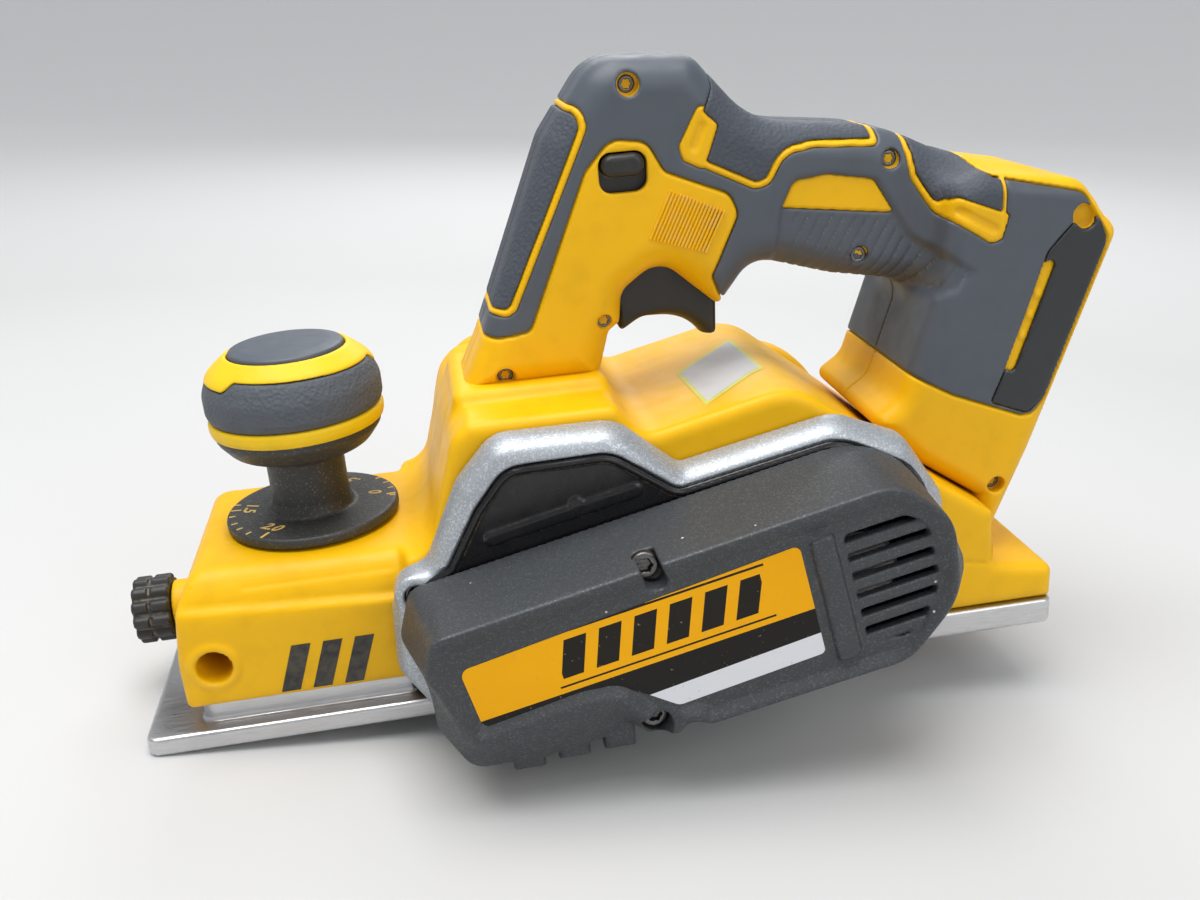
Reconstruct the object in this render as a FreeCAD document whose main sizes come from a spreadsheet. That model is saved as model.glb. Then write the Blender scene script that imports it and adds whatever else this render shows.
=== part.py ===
import FreeCAD, Part
import math
import os
import re
import Sketcher
from FreeCAD import Placement, Rotation, Vector

# Electric hand planer, cordless, 82 mm wide. Millimetres.
# X runs from the nose (-) to the tail (+), Y from the belt side (-) to the chip side (+), Z up.
# The origin lies on the rear shoe's sole, straight below the motor's axis.

os.makedirs("parts", exist_ok=True)
doc = FreeCAD.newDocument("hand_planer")

# ---------------------------------------------------------------- driving dimensions
SIZES = {
    "nose_x": -200, "tail_x": 76, "sole_side": 41,
    "front_plate": 5.5, "rear_plate": 8, "mouth_front": -109.5, "mouth_rear": -88,
    "pedestal_top": 16, "groove_depth": 2.5,
    "cutter_x": -97, "cutter_z": 23.5, "cutter_tip": 23.45, "drum_radius": 22.3, "drum_room": 26,
    "motor_z": 45.5, "shaft_radius": 4, "journal_radius": 5, "running_gap": 0.05,
    "drum_pulley_radius": 15, "motor_pulley_radius": 10.5, "pulley_in": -60, "pulley_out": -74,
    "belt_thick": 3, "belt_wide": 12, "belt_gap": 0.2,
    "frame_in": -41, "frame_out": -52, "cover_face": -83, "cover_wall": 2.5,
    "motor_room": 27.5,
    "knob_x": -147, "deck_z": 51.5, "depth_travel": 2, "dial_radius": 26, "dial_top": 55,
    "knob_low": 66, "knob_high": 106, "stem_radius": 11, "screw_radius": 5,
    "rod_x": -177, "rod_z": 25, "rod_radius": 5, "clamp_z": 27, "clamp_screw_radius": 3,
    "duct_x": -86.5, "duct_z": 73, "duct_radius": 17.5, "duct_in": -14,
    "port_radius": 16, "port_bore": 14, "throat_radius": 13.5, "port_end": 52, "cap_radius": 30.5,
    "handle_side": 18, "post_side": 30, "handle_wall": 3, "skin": 1.5,
    "trigger_x": -53, "trigger_z": 114, "trigger_side": 8,
    "lock_x": -47, "lock_z": 150, "lock_travel": 4, "lock_long": 12, "lock_high": 6.5,
    "stand_x": 43, "stand_z": 12, "stand_side": 8,
}

sheet = doc.addObject("Spreadsheet::Sheet", "Size")
for row, (alias, value) in enumerate(SIZES.items(), start=1):
    sheet.set("A%d" % row, alias)
    sheet.set("B%d" % row, str(value))
    sheet.setAlias("B%d" % row, alias)
doc.recompute()


def size(alias):
    """The value of one cell of the sheet."""
    return float(sheet.get(alias))


def linked(expression):
    """An expression with the sheet's name put in front of each of its cells."""
    word = re.compile(r"[a-z][a-z_]*")
    return word.sub(lambda w: "Size." + w.group() if w.group() in SIZES else w.group(), str(expression))


def value(expression):
    """The number that an expression of the sheet's cells gives."""
    return float(sheet.evalExpression(linked(expression)))


PIECES = []


def piece(item, label):
    """Mark a document object as a finished sub-part, under the label that names its file."""
    item.Label = label
    PIECES.append(item)
    return item


# ---------------------------------------------------------------- bound primitives
TURNS = {"x": Rotation(Vector(0, 1, 0), 90), "y": Rotation(Vector(1, 0, 0), -90), "z": Rotation()}


def block(name, low, high):
    """A box between two corners, each given as three expressions."""
    item = doc.addObject("Part::Box", name)
    for axis, edge, start, end in zip("xyz", ("Length", "Width", "Height"), low, high):
        item.setExpression("Placement.Base." + axis, linked(start))
        item.setExpression(edge, linked("(%s) - (%s)" % (end, start)))
    return item


def rod(name, axis, centre, start, end, radius):
    """A cylinder along one axis; centre holds the other two coordinates, in X, Y, Z order."""
    item = doc.addObject("Part::Cylinder", name)
    item.Placement = Placement(Vector(), TURNS[axis])
    others = iter(centre)
    for letter in "xyz":
        place = start if letter == axis else next(others)
        item.setExpression("Placement.Base." + letter, linked(place))
    item.setExpression("Radius", linked(radius))
    item.setExpression("Height", linked("(%s) - (%s)" % (end, start)))
    return item


def fused(name, *items):
    item = doc.addObject("Part::MultiFuse", name)
    item.Shapes = list(items)
    return item


def grouped(name, *items):
    item = doc.addObject("Part::Compound", name)
    item.Links = list(items)
    return item


def cut(name, base, *tools):
    item = doc.addObject("Part::Cut", name)
    item.Base = base
    item.Tool = tools[0] if len(tools) == 1 else fused(name + "_tools", *tools)
    return item


def freeform(name, shape):
    item = doc.addObject("Part::Feature", name)
    item.Shape = shape
    return item


# ---------------------------------------------------------------- turned bodies
def turned(label, axis, centre, profile):
    """A turned piece: (radius, place along the axis) corners revolved about an axis of the object."""
    body = doc.addObject("PartDesign::Body", label)
    sketch = body.newObject("Sketcher::SketchObject", label + "_profile")
    upright = next(plane for plane in body.Origin.OriginFeatures if plane.Role == "XZ_Plane")
    sketch.AttachmentSupport = [(upright, "")]
    sketch.MapMode = "FlatFace"
    places = [Vector(value(radius), value(along), 0) for radius, along in profile]
    for start, end in zip(places, places[1:] + places[:1]):
        sketch.addGeometry(Part.LineSegment(start, end), False)
    for i in range(len(places)):
        sketch.addConstraint(Sketcher.Constraint("Coincident", i, 2, (i + 1) % len(places), 1))
    for i, (place, corner) in enumerate(zip(places, profile)):
        for kind, number, text in zip(("DistanceX", "DistanceY"), (place.x, place.y), corner):
            index = sketch.addConstraint(Sketcher.Constraint(kind, -1, 1, i, 1, number))
            sketch.renameConstraint(index, "%s%d" % (kind, i))
            sketch.setExpression("Constraints.%s%d" % (kind, i), linked(text))
    spin = body.newObject("PartDesign::Revolution", label + "_turn")
    spin.Profile = sketch
    spin.ReferenceAxis = (sketch, ["V_Axis"])
    spin.Angle = 360
    body.Tip = spin
    body.Placement = Placement(Vector(), TURNS[axis])
    others = iter(centre)
    for letter in "xyz":
        if letter != axis:
            body.setExpression("Placement.Base." + letter, linked(next(others)))
    return body


# ---------------------------------------------------------------- outlines in the XZ plane
def outline(corners, level=0.0):
    """A closed wire at y = level through (x, z, radius) corners, rounded by tangent arcs."""
    places = [Vector(x, level, z) for x, z, radius in corners]
    stretches = []
    for i, (x, z, radius) in enumerate(corners):
        here = places[i]
        if not radius:
            stretches.append((here, here, here, 0))
            continue
        back = (places[i - 1] - here).normalize()
        onward = (places[(i + 1) % len(places)] - here).normalize()
        half = back.getAngle(onward) / 2
        reach = radius / math.tan(half)
        middle = here + (back + onward).normalize() * (radius / math.sin(half) - radius)
        stretches.append((here + back * reach, middle, here + onward * reach, radius))
    edges = []
    for i, (start, middle, end, radius) in enumerate(stretches):
        if radius:
            edges.append(Part.Arc(start, middle, end).toShape())
        following = stretches[(i + 1) % len(stretches)][0]
        if end.distanceToPoint(following) > 1e-6:
            edges.append(Part.LineSegment(end, following).toShape())
    return Part.Wire(edges)


def racetrack(first, second, level=0.0):
    """A closed wire round two circles, each (x, z, radius), with their two outer tangents."""
    (x1, z1, r1), (x2, z2, r2) = first, second
    line = math.atan2(z2 - z1, x2 - x1)
    spread = math.acos((r1 - r2) / math.hypot(x2 - x1, z2 - z1))

    def place(x, z, radius, angle):
        return Vector(x + radius * math.cos(angle), level, z + radius * math.sin(angle))
    top1, low1 = place(x1, z1, r1, line + spread), place(x1, z1, r1, line - spread)
    top2, low2 = place(x2, z2, r2, line + spread), place(x2, z2, r2, line - spread)
    far1, far2 = place(x1, z1, r1, line + math.pi), place(x2, z2, r2, line)
    return Part.Wire([
        Part.Arc(top1, far1, low1).toShape(), Part.LineSegment(low1, low2).toShape(),
        Part.Arc(low2, far2, top2).toShape(), Part.LineSegment(top2, top1).toShape(),
    ])


def slab(corners, start, end, inset=0.0):
    """An outline, drawn in by inset, as a solid from y = start to y = end."""
    face = Part.Face(outline(corners, start))
    if inset:
        face = face.makeOffset2D(-inset)
    return face.extrude(Vector(0, end - start, 0))


def softened(shape, level, radii):
    """The shape with its edges at y = level rounded, by the largest of the radii that holds."""
    edges = [e for e in shape.Edges if all(abs(v.Y - level) < 1e-6 for v in e.Vertexes)]
    for radius in radii:
        try:
            result = shape.makeFillet(radius, edges)
        except Exception:
            continue
        if result.isValid() and 0 < result.Volume < shape.Volume:
            return result
    return shape


def drum(x, z, start, end, radius):
    """A plain cylinder along Y."""
    return Part.makeCylinder(radius, end - start, Vector(x, start, z), Vector(0, 1, 0))


def brick(low, high):
    """A plain box between two corners."""
    low, high = Vector(*low), Vector(*high)
    return Part.makeBox(*(high - low), low)


def coil(base, axis, radius, wire, length, turns):
    """An open coil spring: a round wire swept along a helix."""
    path = Part.makeHelix(length / turns, length, radius)
    ring = Part.Wire(Part.makeCircle(wire / 2, Vector(radius, 0, 0), Vector(0, 1, 0)))
    spring = Part.Wire(path.Edges).makePipeShell([ring], True, True)
    spring.Placement = Placement(Vector(*base), TURNS[axis])
    return spring


# ---------------------------------------------------------------- outlines of the shells
NOSE, TAIL, SIDE = size("nose_x"), size("tail_x"), size("sole_side")
CUTTER_X, CUTTER_Z, MOTOR_Z = size("cutter_x"), size("cutter_z"), size("motor_z")
DECK = size("deck_z")

BODY = [
    (-187, 12, 2), (-187, 26, 4), (-185, 42, 3), (-180, DECK, 7), (-113, DECK - 1, 10), (-103, 84, 12),
    (-98, 88, 0), (-57, 88, 2), (-50, 78, 8), (-5.6, 87.7, 18), (36, 54, 0), (56, 40, 0), (57, 22, 0),
    (TAIL, 19, 3), (TAIL, 8, 0), (-80, 8, 0), (-80, 12, 0),
]
FRAME = [
    (-125, 40, 8), (-113, 53, 6), (-103, 74, 12), (-92, 86, 10), (-58, 85.5, 12), (-41, 70.5, 4),
    (4, 79.5, 14), (24, 71, 10), (36, 52, 12), (37, 30, 18), (22, 12, 15), (-50, 3.5, 8),
    (-116, 3.5, 10), (-126, 20, 8),
]
PLATE = [
    (-121, 45, 3), (-108, 52, 3), (-99, 68, 8), (-90, 79, 10), (-61, 79.5, 12), (-43, 66, 6), (3, 75, 15),
    (28, 62, 18), (31, 30, 16), (10, 16, 14), (-50, 7, 5), (-112, 7, 6),
]
COVER = [
    (-119.5, 47.8, 5), (22.8, 78.2, 26.5), (34, 25.4, 26.5), (-52, 7, 4), (-60, 7, 2), (-66, 12, 2),
    (-73, 7, 2), (-90, 4, 4), (-108, 4, 7), (-124, 33, 8),
]
LABEL = [(-108, 37, 2), (-105, 20, 2), (-71, 26, 3), (-55, 18, 2), (-14, 27, 2), (-19, 56.5, 2)]
GRIP = [
    (-99, 88, 0), (-91.5, 102, 8), (-67.5, 158, 14), (-52, 178.5, 14), (-25, 177, 7), (-8, 157.5, 25),
    (30, 153, 50), (58, 139, 12), (72, 135, 0), (60, 96, 0), (38, 106.5, 12), (15, 111, 20),
    (-9, 118.5, 9), (-20, 105.5, 1.5), (-37, 121, 8), (-48.5, 113, 6), (-49.5, 104, 2), (-53, 101.5, 2),
    (-57, 88, 0),
]
POST = [
    (54, 139.5, 4), (84, 135, 9), (96.5, 119, 5), (72.5, 54, 3), (61, 27, 2), (57, 22, 0), (56, 40, 0),
    (36, 54, 0), (21, 69, 0), (30, 75, 8), (41, 106, 8), (45, 136, 5),
]
POST_ROOM = [
    (50, 134, 4), (76, 131, 6), (82, 123, 3), (60.5, 66, 3), (56, 50, 3), (38, 58, 3), (28, 69, 3),
    (34, 74, 6), (45, 104, 4),
]
GREY = [
    (-115, 107, 0), (-86, 104.5, 3), (-76.5, 106, 3), (-57.5, 149, 6), (-50, 157, 5), (-40, 155.5, 4),
    (-35.5, 147, 3), (-17, 139, 4), (-14.5, 133, 3), (-23, 116, 2), (-20.5, 110, 2), (-14, 103, 0),
    (0, 96, 0), (20, 90, 0), (46, 75, 10), (70, 65, 5), (76, 71, 3), (92.5, 117, 6), (84, 131, 6),
    (56, 137, 3), (50, 150, 0), (50, 200, 0), (-110, 200, 0),
]
TRIGGER = [
    (-57, 110, 3), (-57, 118, 3), (-47, 123, 3), (-22, 123, 3), (-19.5, 112, 0), (-20, 96.5, 1.5),
    (-25, 94.3, 1.5), (-34, 101.5, 8), (-42, 104, 5), (-49.3, 99.8, 1), (-50, 108, 0.5),
]
STAND = [(39.5, 12, 0), (39.5, -18, 3), (37.5, -22, 0.5), (45, -22, 3), (46.5, 12, 0)]

CHIP_WAY = [(-108, 40, 0), (-108, 51, 4), (-101.5, 72, 8), (-96, 80, 4), (-78, 80, 4), (-84, 51, 4), (-84, 40, 0)]

HANDLE_SCREWS = [(-44, 171, 13), (-55, 106, 13), (-85, 93, -4), (31, 144, 13), (22, 117, 13), (61, 44, 25)]
COVER_SCREWS = [(-58, 57), (6, 66), (-58, 12)]
FRAME_SCREWS = [(-117.5, 44), (-60, 68), (-50, 14), (31, 36)]
SHOE_SCREWS = [(x, y) for x in (-60, 30) for y in (-30, 30)]


# ---------------------------------------------------------------- shoes
def make_shoes():
    """The fixed rear shoe, and the front shoe with the pedestal that guides it up into the housing."""
    drum_path = rod("drum_path", "y", ("cutter_x", "cutter_z"), "-sole_side - 1", "sole_side + 1", 24.6)
    plate = block("rear_plate_block", ("mouth_rear", "-sole_side", 0), ("tail_x", "sole_side", "rear_plate"))
    notch = block("stand_notch", (37, -9, -1), ("tail_x + 1", 9, "rear_plate + 1"))
    holes = []
    for i, (x, y) in enumerate(SHOE_SCREWS):
        holes.append(rod("shoe_hole%d" % i, "z", (x, y), -1, 9, 2.5))
        holes.append(rod("shoe_sink%d" % i, "z", (x, y), -1, 4, 4.7))
    piece(cut("rear_shoe_cut", plate, drum_path, notch, *holes), "rear_shoe")

    low_path = rod("low_drum_path", "y", ("cutter_x", "cutter_z - depth_travel"),
                   "-sole_side - 1", "sole_side + 1", 24.4)
    front = block("front_plate_block", ("nose_x", "-sole_side", 0), ("mouth_front", "sole_side", "front_plate"))
    pedestal = block("pedestal", (-184, -35.5, "front_plate"), (-122, 35.5, "pedestal_top"))
    boss = rod("shoe_boss", "z", ("knob_x", 0), "pedestal_top", 34, 9)
    bore = rod("shoe_thread", "z", ("knob_x", 0), 6, 35, "screw_radius + 0.1")
    groove = freeform("v_groove", Part.Face(Part.makePolygon([
        Vector(NOSE - 1, -size("groove_depth"), 0), Vector(NOSE - 1, 0, size("groove_depth")),
        Vector(NOSE - 1, size("groove_depth"), 0), Vector(NOSE - 1, -size("groove_depth"), 0),
    ])).extrude(Vector(100, 0, 0)))
    piece(cut("front_shoe_cut", fused("front_casting", front, pedestal, boss), low_path, bore, groove),
          "front_shoe")

    screws = []
    for i, (x, y) in enumerate(SHOE_SCREWS):
        shank = rod("shoe_shank%d" % i, "z", (x, y), 3, 18, 2.5)
        head = rod("shoe_head%d" % i, "z", (x, y), 1, 4, 4.7)
        screws.append(fused("shoe_screw%d" % i, shank, head))
    piece(grouped("shoe_screw_set", *screws), "rear_shoe_screws")


# ---------------------------------------------------------------- cutter
def make_cutter():
    """The drum between its bearings, its two blades on clamp bars, and its pulley on the belt side."""
    x, z = CUTTER_X, CUTTER_Z
    axis = ("cutter_x", "cutter_z")
    barrel = rod("barrel", "y", axis, "-sole_side + 0.5", "sole_side - 0.5", "drum_radius")
    journal = rod("journal", "y", axis, -77, 50, "journal_radius")
    slots, blades, clamps, screws = [], [], [], []
    for i, side in enumerate((-1, 1)):
        low, high = sorted((side * 12, side * 24))
        slots.append(block("slot%d" % i, ("cutter_x + %g" % low, -42, "cutter_z - 3"),
                           ("cutter_x + %g" % high, 42, "cutter_z + 3")))
        low, high = sorted((side * 17, side * size("cutter_tip")))
        blade_low = 1.9 if side < 0 else -3
        blades.append(brick((x + low, -40.5, z + blade_low), (x + high, 40.5, z + blade_low + 1.1)))
        low, high = sorted((side * 12, side * 21.5))
        clamp_low = -3 if side < 0 else -1.9
        clamps.append(brick((x + low, -40.5, z + clamp_low), (x + high, 40.5, z + clamp_low + 4.9)))
        for y in (-28, 0, 28):
            low, high = sorted((side * 6, side * 22))
            screws.append(Part.makeCylinder(1.6, high - low, Vector(x + low, y, z), Vector(1, 0, 0)))
    bolts = Part.makeCompound(screws)
    drum_cut = cut("drum_cut", fused("drum_solid", barrel, journal), *slots, freeform("bolt_holes", bolts))
    piece(drum_cut, "cutter_drum")
    piece(freeform("blade_pair", Part.makeCompound(blades)), "cutter_blades")
    piece(freeform("clamp_pair", Part.makeCompound(clamps).cut(bolts)), "blade_clamps")
    piece(freeform("clamp_bolts", bolts), "blade_clamp_screws")

    def ring_profile(bore, outer, start, end):
        return [(bore, start), (outer, start), (outer, end), (bore, end)]
    for label, start, end in (("drum_bearing_left", -50, -42), ("drum_bearing_right", 42, 50)):
        piece(turned(label, "y", axis, ring_profile("journal_radius + running_gap", 13, start, end)), label)

    def pulley(label, centre, bore, radius):
        ribs = []
        for i in range(5):
            start = -73 + i * 2.4
            ribs += [("%s" % radius, start), ("%s" % radius, start + 1.2),
                     ("%s - 1.2" % radius, start + 1.8), ("%s - 1.2" % radius, start + 2.0)]
        profile = [(bore, "pulley_out"), ("%s + 2" % radius, "pulley_out"), ("%s + 2" % radius, -73.2)]
        profile += [("%s" % radius, -73.2)] + ribs[1:] + [("%s - 1.2" % radius, -60.8)]
        profile += [("%s + 2" % radius, -60.8), ("%s + 2" % radius, "pulley_in"), (bore, "pulley_in")]
        piece(turned(label, "y", centre, profile), label)
    pulley("drum_pulley", axis, "journal_radius", "drum_pulley_radius - 2.4")
    pulley("motor_pulley", (0, "motor_z"), "shaft_radius", "motor_pulley_radius - 2.4")
    nut = Part.Face(Part.makePolygon([
        Vector(x + 8 * math.cos(a), -76.6, z + 8 * math.sin(a)) for a in
        [i * math.pi / 3 for i in range(7)]])).extrude(Vector(0, 2.6, 0))
    piece(freeform("nut", nut.cut(drum(x, z, -80, -70, size("journal_radius")))), "drum_pulley_nut")


# ---------------------------------------------------------------- motor and belt
def make_motor():
    """The brushless motor: a rotor on two bearings inside a wound stator, a fan, and the belt."""
    axis = (0, "motor_z")
    z = MOTOR_Z
    gap = "shaft_radius + running_gap"
    piece(turned("motor_rotor", "y", axis, [
        (0, -76), ("shaft_radius", -76), ("shaft_radius", -24), (14, -22), (14, 22), ("shaft_radius", 24),
        ("shaft_radius", 50), (0, 50)]), "motor_rotor")
    ring = drum(0, z, -24, 24, 26.5).cut(drum(0, z, -25, 25, 14.6))
    for i in range(12):
        angle = math.radians(30 * i)
        slot = drum(20.5 * math.cos(angle), z + 20.5 * math.sin(angle), -25, 25, 2.6)
        ring = ring.cut(slot)
    piece(freeform("stator", ring), "motor_stator")
    windings = [drum(20.5 * math.cos(a), z + 20.5 * math.sin(a), -27, 27, 2.4)
                for a in [math.radians(30 * i) for i in range(12)]]
    piece(freeform("windings", Part.makeCompound(windings)), "motor_windings")
    for label, start, end in (("motor_bearing_left", -50, -43), ("motor_bearing_right", 42, 49)):
        piece(turned(label, "y", axis, [(gap, start), (11, start), (11, end), (gap, end)]), label)
    fan = drum(0, z, 29, 31, 25).fuse(drum(0, z, 29, 38, 8))
    for i in range(9):
        vane = brick((7, 30.9, -0.8), (25, 38, 0.8))
        vane.rotate(Vector(), Vector(0, 1, 0), 40 * i)
        vane.translate(Vector(0, 0, z))
        fan = fan.fuse(vane)
    fan = fan.removeSplitter().cut(drum(0, z, 28, 39, size("shaft_radius")))
    piece(freeform("fan", fan), "cooling_fan")

    gap, thick, wide = size("belt_gap"), size("belt_thick"), size("belt_wide")
    middle = (size("pulley_in") + size("pulley_out")) / 2
    start = middle - wide / 2
    outer, inner = (
        Part.Face(racetrack((CUTTER_X, CUTTER_Z, size("drum_pulley_radius") - 2.4 + extra),
                            (0, z, size("motor_pulley_radius") - 2.4 + extra), start))
        .extrude(Vector(0, wide, 0)) for extra in (gap + thick, gap))
    piece(freeform("belt", outer.cut(inner)), "drive_belt")


# ---------------------------------------------------------------- housings
def duct_bulge(end):
    """The rounded hump over the chip duct, from inside the housing out to an end."""
    inner = size("duct_in")
    return softened(drum(size("duct_x"), size("duct_z"), inner, end, size("duct_radius")), inner, (12, 8))


def make_housings():
    """The yellow main housing, the silver belt housing with its plate and cover, and the end cap."""
    side = SIDE
    deck = slab(BODY, -side, side)
    for sign in (-1, 1):
        low, high = sorted((sign * 39, sign * (side + 1)))
        deck = deck.cut(brick((-190, low, 0), (-122, high, 60)))
        low, high = sorted((sign * 37, sign * (side + 1)))
        deck = deck.cut(brick((-190, low, 42), (-122, high, 60)))
    body = softened(deck, side, (6, 4, 3))
    bulge = duct_bulge(side)
    bearing_boss = softened(drum(CUTTER_X, CUTTER_Z, side - 1, side + 11, 17), side + 11, (3, 2))
    side_wall = drum(CUTTER_X, CUTTER_Z, side, side + 2.5, 27.5)
    collar = Part.makeCylinder(8, 7, Vector(-193.2, 0, size("clamp_z")), Vector(1, 0, 0))
    body = body.fuse([bulge, bearing_boss, side_wall, collar])
    tools = [
        drum(CUTTER_X, CUTTER_Z, -side - 1, side, size("drum_room")),
        drum(CUTTER_X, CUTTER_Z, side - 1, side + 1, 9),
        brick((-130, side, -5), (-60, side + 15, 9.5)),
        drum(CUTTER_X, CUTTER_Z, side + 1, side + 9, 13),
        drum(CUTTER_X, CUTTER_Z, side + 8.9, side + 9.5, 9),
        slab(CHIP_WAY, -13, 13),
        drum(size("duct_x"), size("duct_z"), -4, side + 1, size("throat_radius")),
        drum(0, MOTOR_Z, -side - 1, side + 1, size("motor_room")),
        brick((-184.5, -36, 11), (-121.5, 36, 18.5)),
        brick((-166, -35, 18), (-124, 35, 47)).cut(
            Part.makeCylinder(15, 20, Vector(size("knob_x"), 0, 40))),
        Part.makeCylinder(size("screw_radius") + size("running_gap"), 30, Vector(size("knob_x"), 0, 35)),
        drum(size("rod_x"), size("rod_z"), -side, side, size("rod_radius")),
        Part.makeCylinder(size("clamp_screw_radius") + size("running_gap"), 18,
                          Vector(-196, 0, size("clamp_z")), Vector(1, 0, 0)),
        brick((36.5, -9, 7), (TAIL + 1, 9, 17)),
        drum(size("stand_x"), size("stand_z"), -15, 15, 2),
    ]
    tools += [Part.makeCylinder(2.5, 20, Vector(x, y, -1)) for x, y in SHOE_SCREWS]
    tools += [drum(x, z, -side - 1, -30, 2) for x, z in FRAME_SCREWS]
    for tool in tools:
        body = body.cut(tool)
    piece(freeform("main_shell", body), "main_housing")

    out, inward = size("frame_out"), size("frame_in")
    frame = softened(slab(FRAME, out, inward), out, (4, 3, 2))
    frame = frame.cut(slab(PLATE, out - 1, out + 2))
    room = slab(FRAME, out + 1, inward - 2, inset=8)
    bosses = [drum(CUTTER_X, CUTTER_Z, out, 0, 17), drum(0, MOTOR_Z, out, 0, 14.5)]
    bosses += [drum(x, z, out, 0, 5) for x, z in COVER_SCREWS + FRAME_SCREWS]
    for boss in bosses:
        room = room.cut(boss)
    frame = frame.cut(room)
    bores = [
        drum(CUTTER_X, CUTTER_Z, out, -42, 13), drum(CUTTER_X, CUTTER_Z, -43, -40, 9),
        drum(0, MOTOR_Z, out, -43, 11), drum(0, MOTOR_Z, -44, -40, 6),
    ]
    bores += [drum(x, z, -46, 0, 2) for x, z in FRAME_SCREWS]
    bores += [drum(x, z, out, -46, 3.6) for x, z in FRAME_SCREWS]
    bores += [drum(x, z, out, -45, 2) for x, z in COVER_SCREWS]
    for bore in bores:
        frame = frame.cut(bore)
    piece(freeform("frame_shell", frame), "belt_housing")
    screws = [drum(x, z, -46, -31, 2).fuse(drum(x, z, -49, -46, 3.6)) for x, z in FRAME_SCREWS]
    piece(freeform("frame_screw_set", Part.makeCompound(screws)), "belt_housing_screws")

    plate = slab(PLATE, out, out + 2)
    for hole in [drum(CUTTER_X, CUTTER_Z, out - 1, 0, 9), drum(0, MOTOR_Z, out - 1, 0, 8)]:
        plate = plate.cut(hole)
    for x, z in COVER_SCREWS:
        plate = plate.cut(drum(x, z, out - 1, 0, 2))
    piece(freeform("plate_shell", plate), "belt_back_plate")

    face, wall = size("cover_face"), size("cover_wall")
    cover = softened(slab(COVER, face, out), face, (7, 5, 4, 3))
    hollow = slab(COVER, face + 2 * wall, out + 1, inset=wall + 0.5)
    for x, z in COVER_SCREWS:
        hollow = hollow.cut(drum(x, z, face, 0, 5))
    cover = cover.cut(hollow).cut(slab(COVER, face - 1, face + 1.5, inset=9))
    for i in range(5):
        vent = brick((-9, face - 1, -1.4), (11, face + 6, 1.4))
        vent.rotate(Vector(), Vector(0, 1, 0), -12)
        vent.translate(Vector(4.5 - 0.9 * i, 0, 33.5 + 5.6 * i))
        cover = cover.cut(vent)
    for x, z in COVER_SCREWS:
        cover = cover.cut(drum(x, z, face - 1, -73, 4)).cut(drum(x, z, -74, out + 1, 2))
    piece(freeform("cover_shell", cover), "belt_cover")
    screws = [drum(x, z, -73, -45.5, 2).fuse(drum(x, z, -76, -73, 3.9)) for x, z in COVER_SCREWS]
    piece(freeform("cover_screw_set", Part.makeCompound(screws)), "cover_screws")
    piece(freeform("label_film", slab(LABEL, face + 1, face + 1.5)), "cover_label")

    cap = softened(drum(0, MOTOR_Z, side, side + 14, size("cap_radius")), side + 14, (8, 5))
    cap = cap.cut(drum(0, MOTOR_Z, side - 1, side + 11, size("motor_room")).cut(
        drum(0, MOTOR_Z, side + 1, side + 11, 14)))
    cap = cap.cut(drum(0, MOTOR_Z, side, side + 8, 11)).cut(drum(0, MOTOR_Z, side + 7, side + 11, 5))
    for i in range(-3, 4):
        low, high = MOTOR_Z + 6 * i - 1.5, MOTOR_Z + 6 * i + 1.5
        reach = 25 - 2.5 * abs(i)
        cap = cap.cut(brick((-reach, side + 10, low), (-14.5, side + 15, high)))
        cap = cap.cut(brick((14.5, side + 10, low), (reach, side + 15, high)))
    piece(freeform("cap_shell", cap), "motor_end_cap")
    piece(turned("chip_port", "y", ("duct_x", "duct_z"), [
        ("port_bore", 41), ("duct_radius", 41), ("duct_radius", 44), ("port_radius", 44),
        ("port_radius", "port_end"), ("port_bore", "port_end")]), "chip_port")


# ---------------------------------------------------------------- depth of cut
def make_depth_knob():
    """The knob, its dial and its screw turn together and raise the front shoe, which carries a nut."""
    axis = ("knob_x", 0)
    piece(turned("depth_dial", "z", axis, [
        (0, "deck_z + 0.4"), ("dial_radius", "deck_z + 0.4"), ("dial_radius", "dial_top - 0.6"),
        ("dial_radius - 0.6", "dial_top"), (13, "dial_top"), ("stem_radius - 1", 60), ("stem_radius", "knob_low"),
        (16, "knob_low + 3"), (22, "knob_low + 8"), (24.5, "knob_low + 13"), (24.5, "knob_low + 15"),
        (20, "knob_low + 15"), (20, "knob_low + 24"), (6, "knob_low + 24"), (6, "knob_low + 4"),
        (0, "knob_low + 4")]), "depth_dial")
    piece(turned("knob_grip", "z", axis, [
        (20, "knob_low + 15"), (25.3, "knob_low + 15"), (26, "knob_low + 19"), (26, "knob_low + 24"),
        (24.8, "knob_low + 29"), (22.5, "knob_low + 32"), (19, "knob_low + 32"), (19, "knob_low + 24"),
        (20, "knob_low + 24")]), "knob_grip")
    piece(turned("knob_ring", "z", axis, [
        (6, "knob_low + 24"), (19, "knob_low + 24"), (19, "knob_low + 32"), (22.5, "knob_low + 32"),
        (19, "knob_low + 36"), (16, "knob_low + 37.5"), (16, "knob_low + 34"), (6, "knob_low + 34")]),
        "knob_ring")
    piece(turned("knob_cap", "z", axis, [
        (0, "knob_low + 34"), (16, "knob_low + 34"), (16, "knob_low + 37.8"), (13, "knob_high - 1"),
        (8, "knob_high"), (0, "knob_high")]), "knob_cap")
    screw = rod("depth_screw_rod", "z", axis, 14, "deck_z + 0.4", "screw_radius")
    piece(screw, "depth_screw")
    low, high = size("pedestal_top") + 0.9, 40 - 0.9
    spring = coil((size("knob_x"), 0, low), "z", 11.5, 1.6, high - low, 5)
    piece(freeform("depth_coil", spring), "depth_spring")


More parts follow.
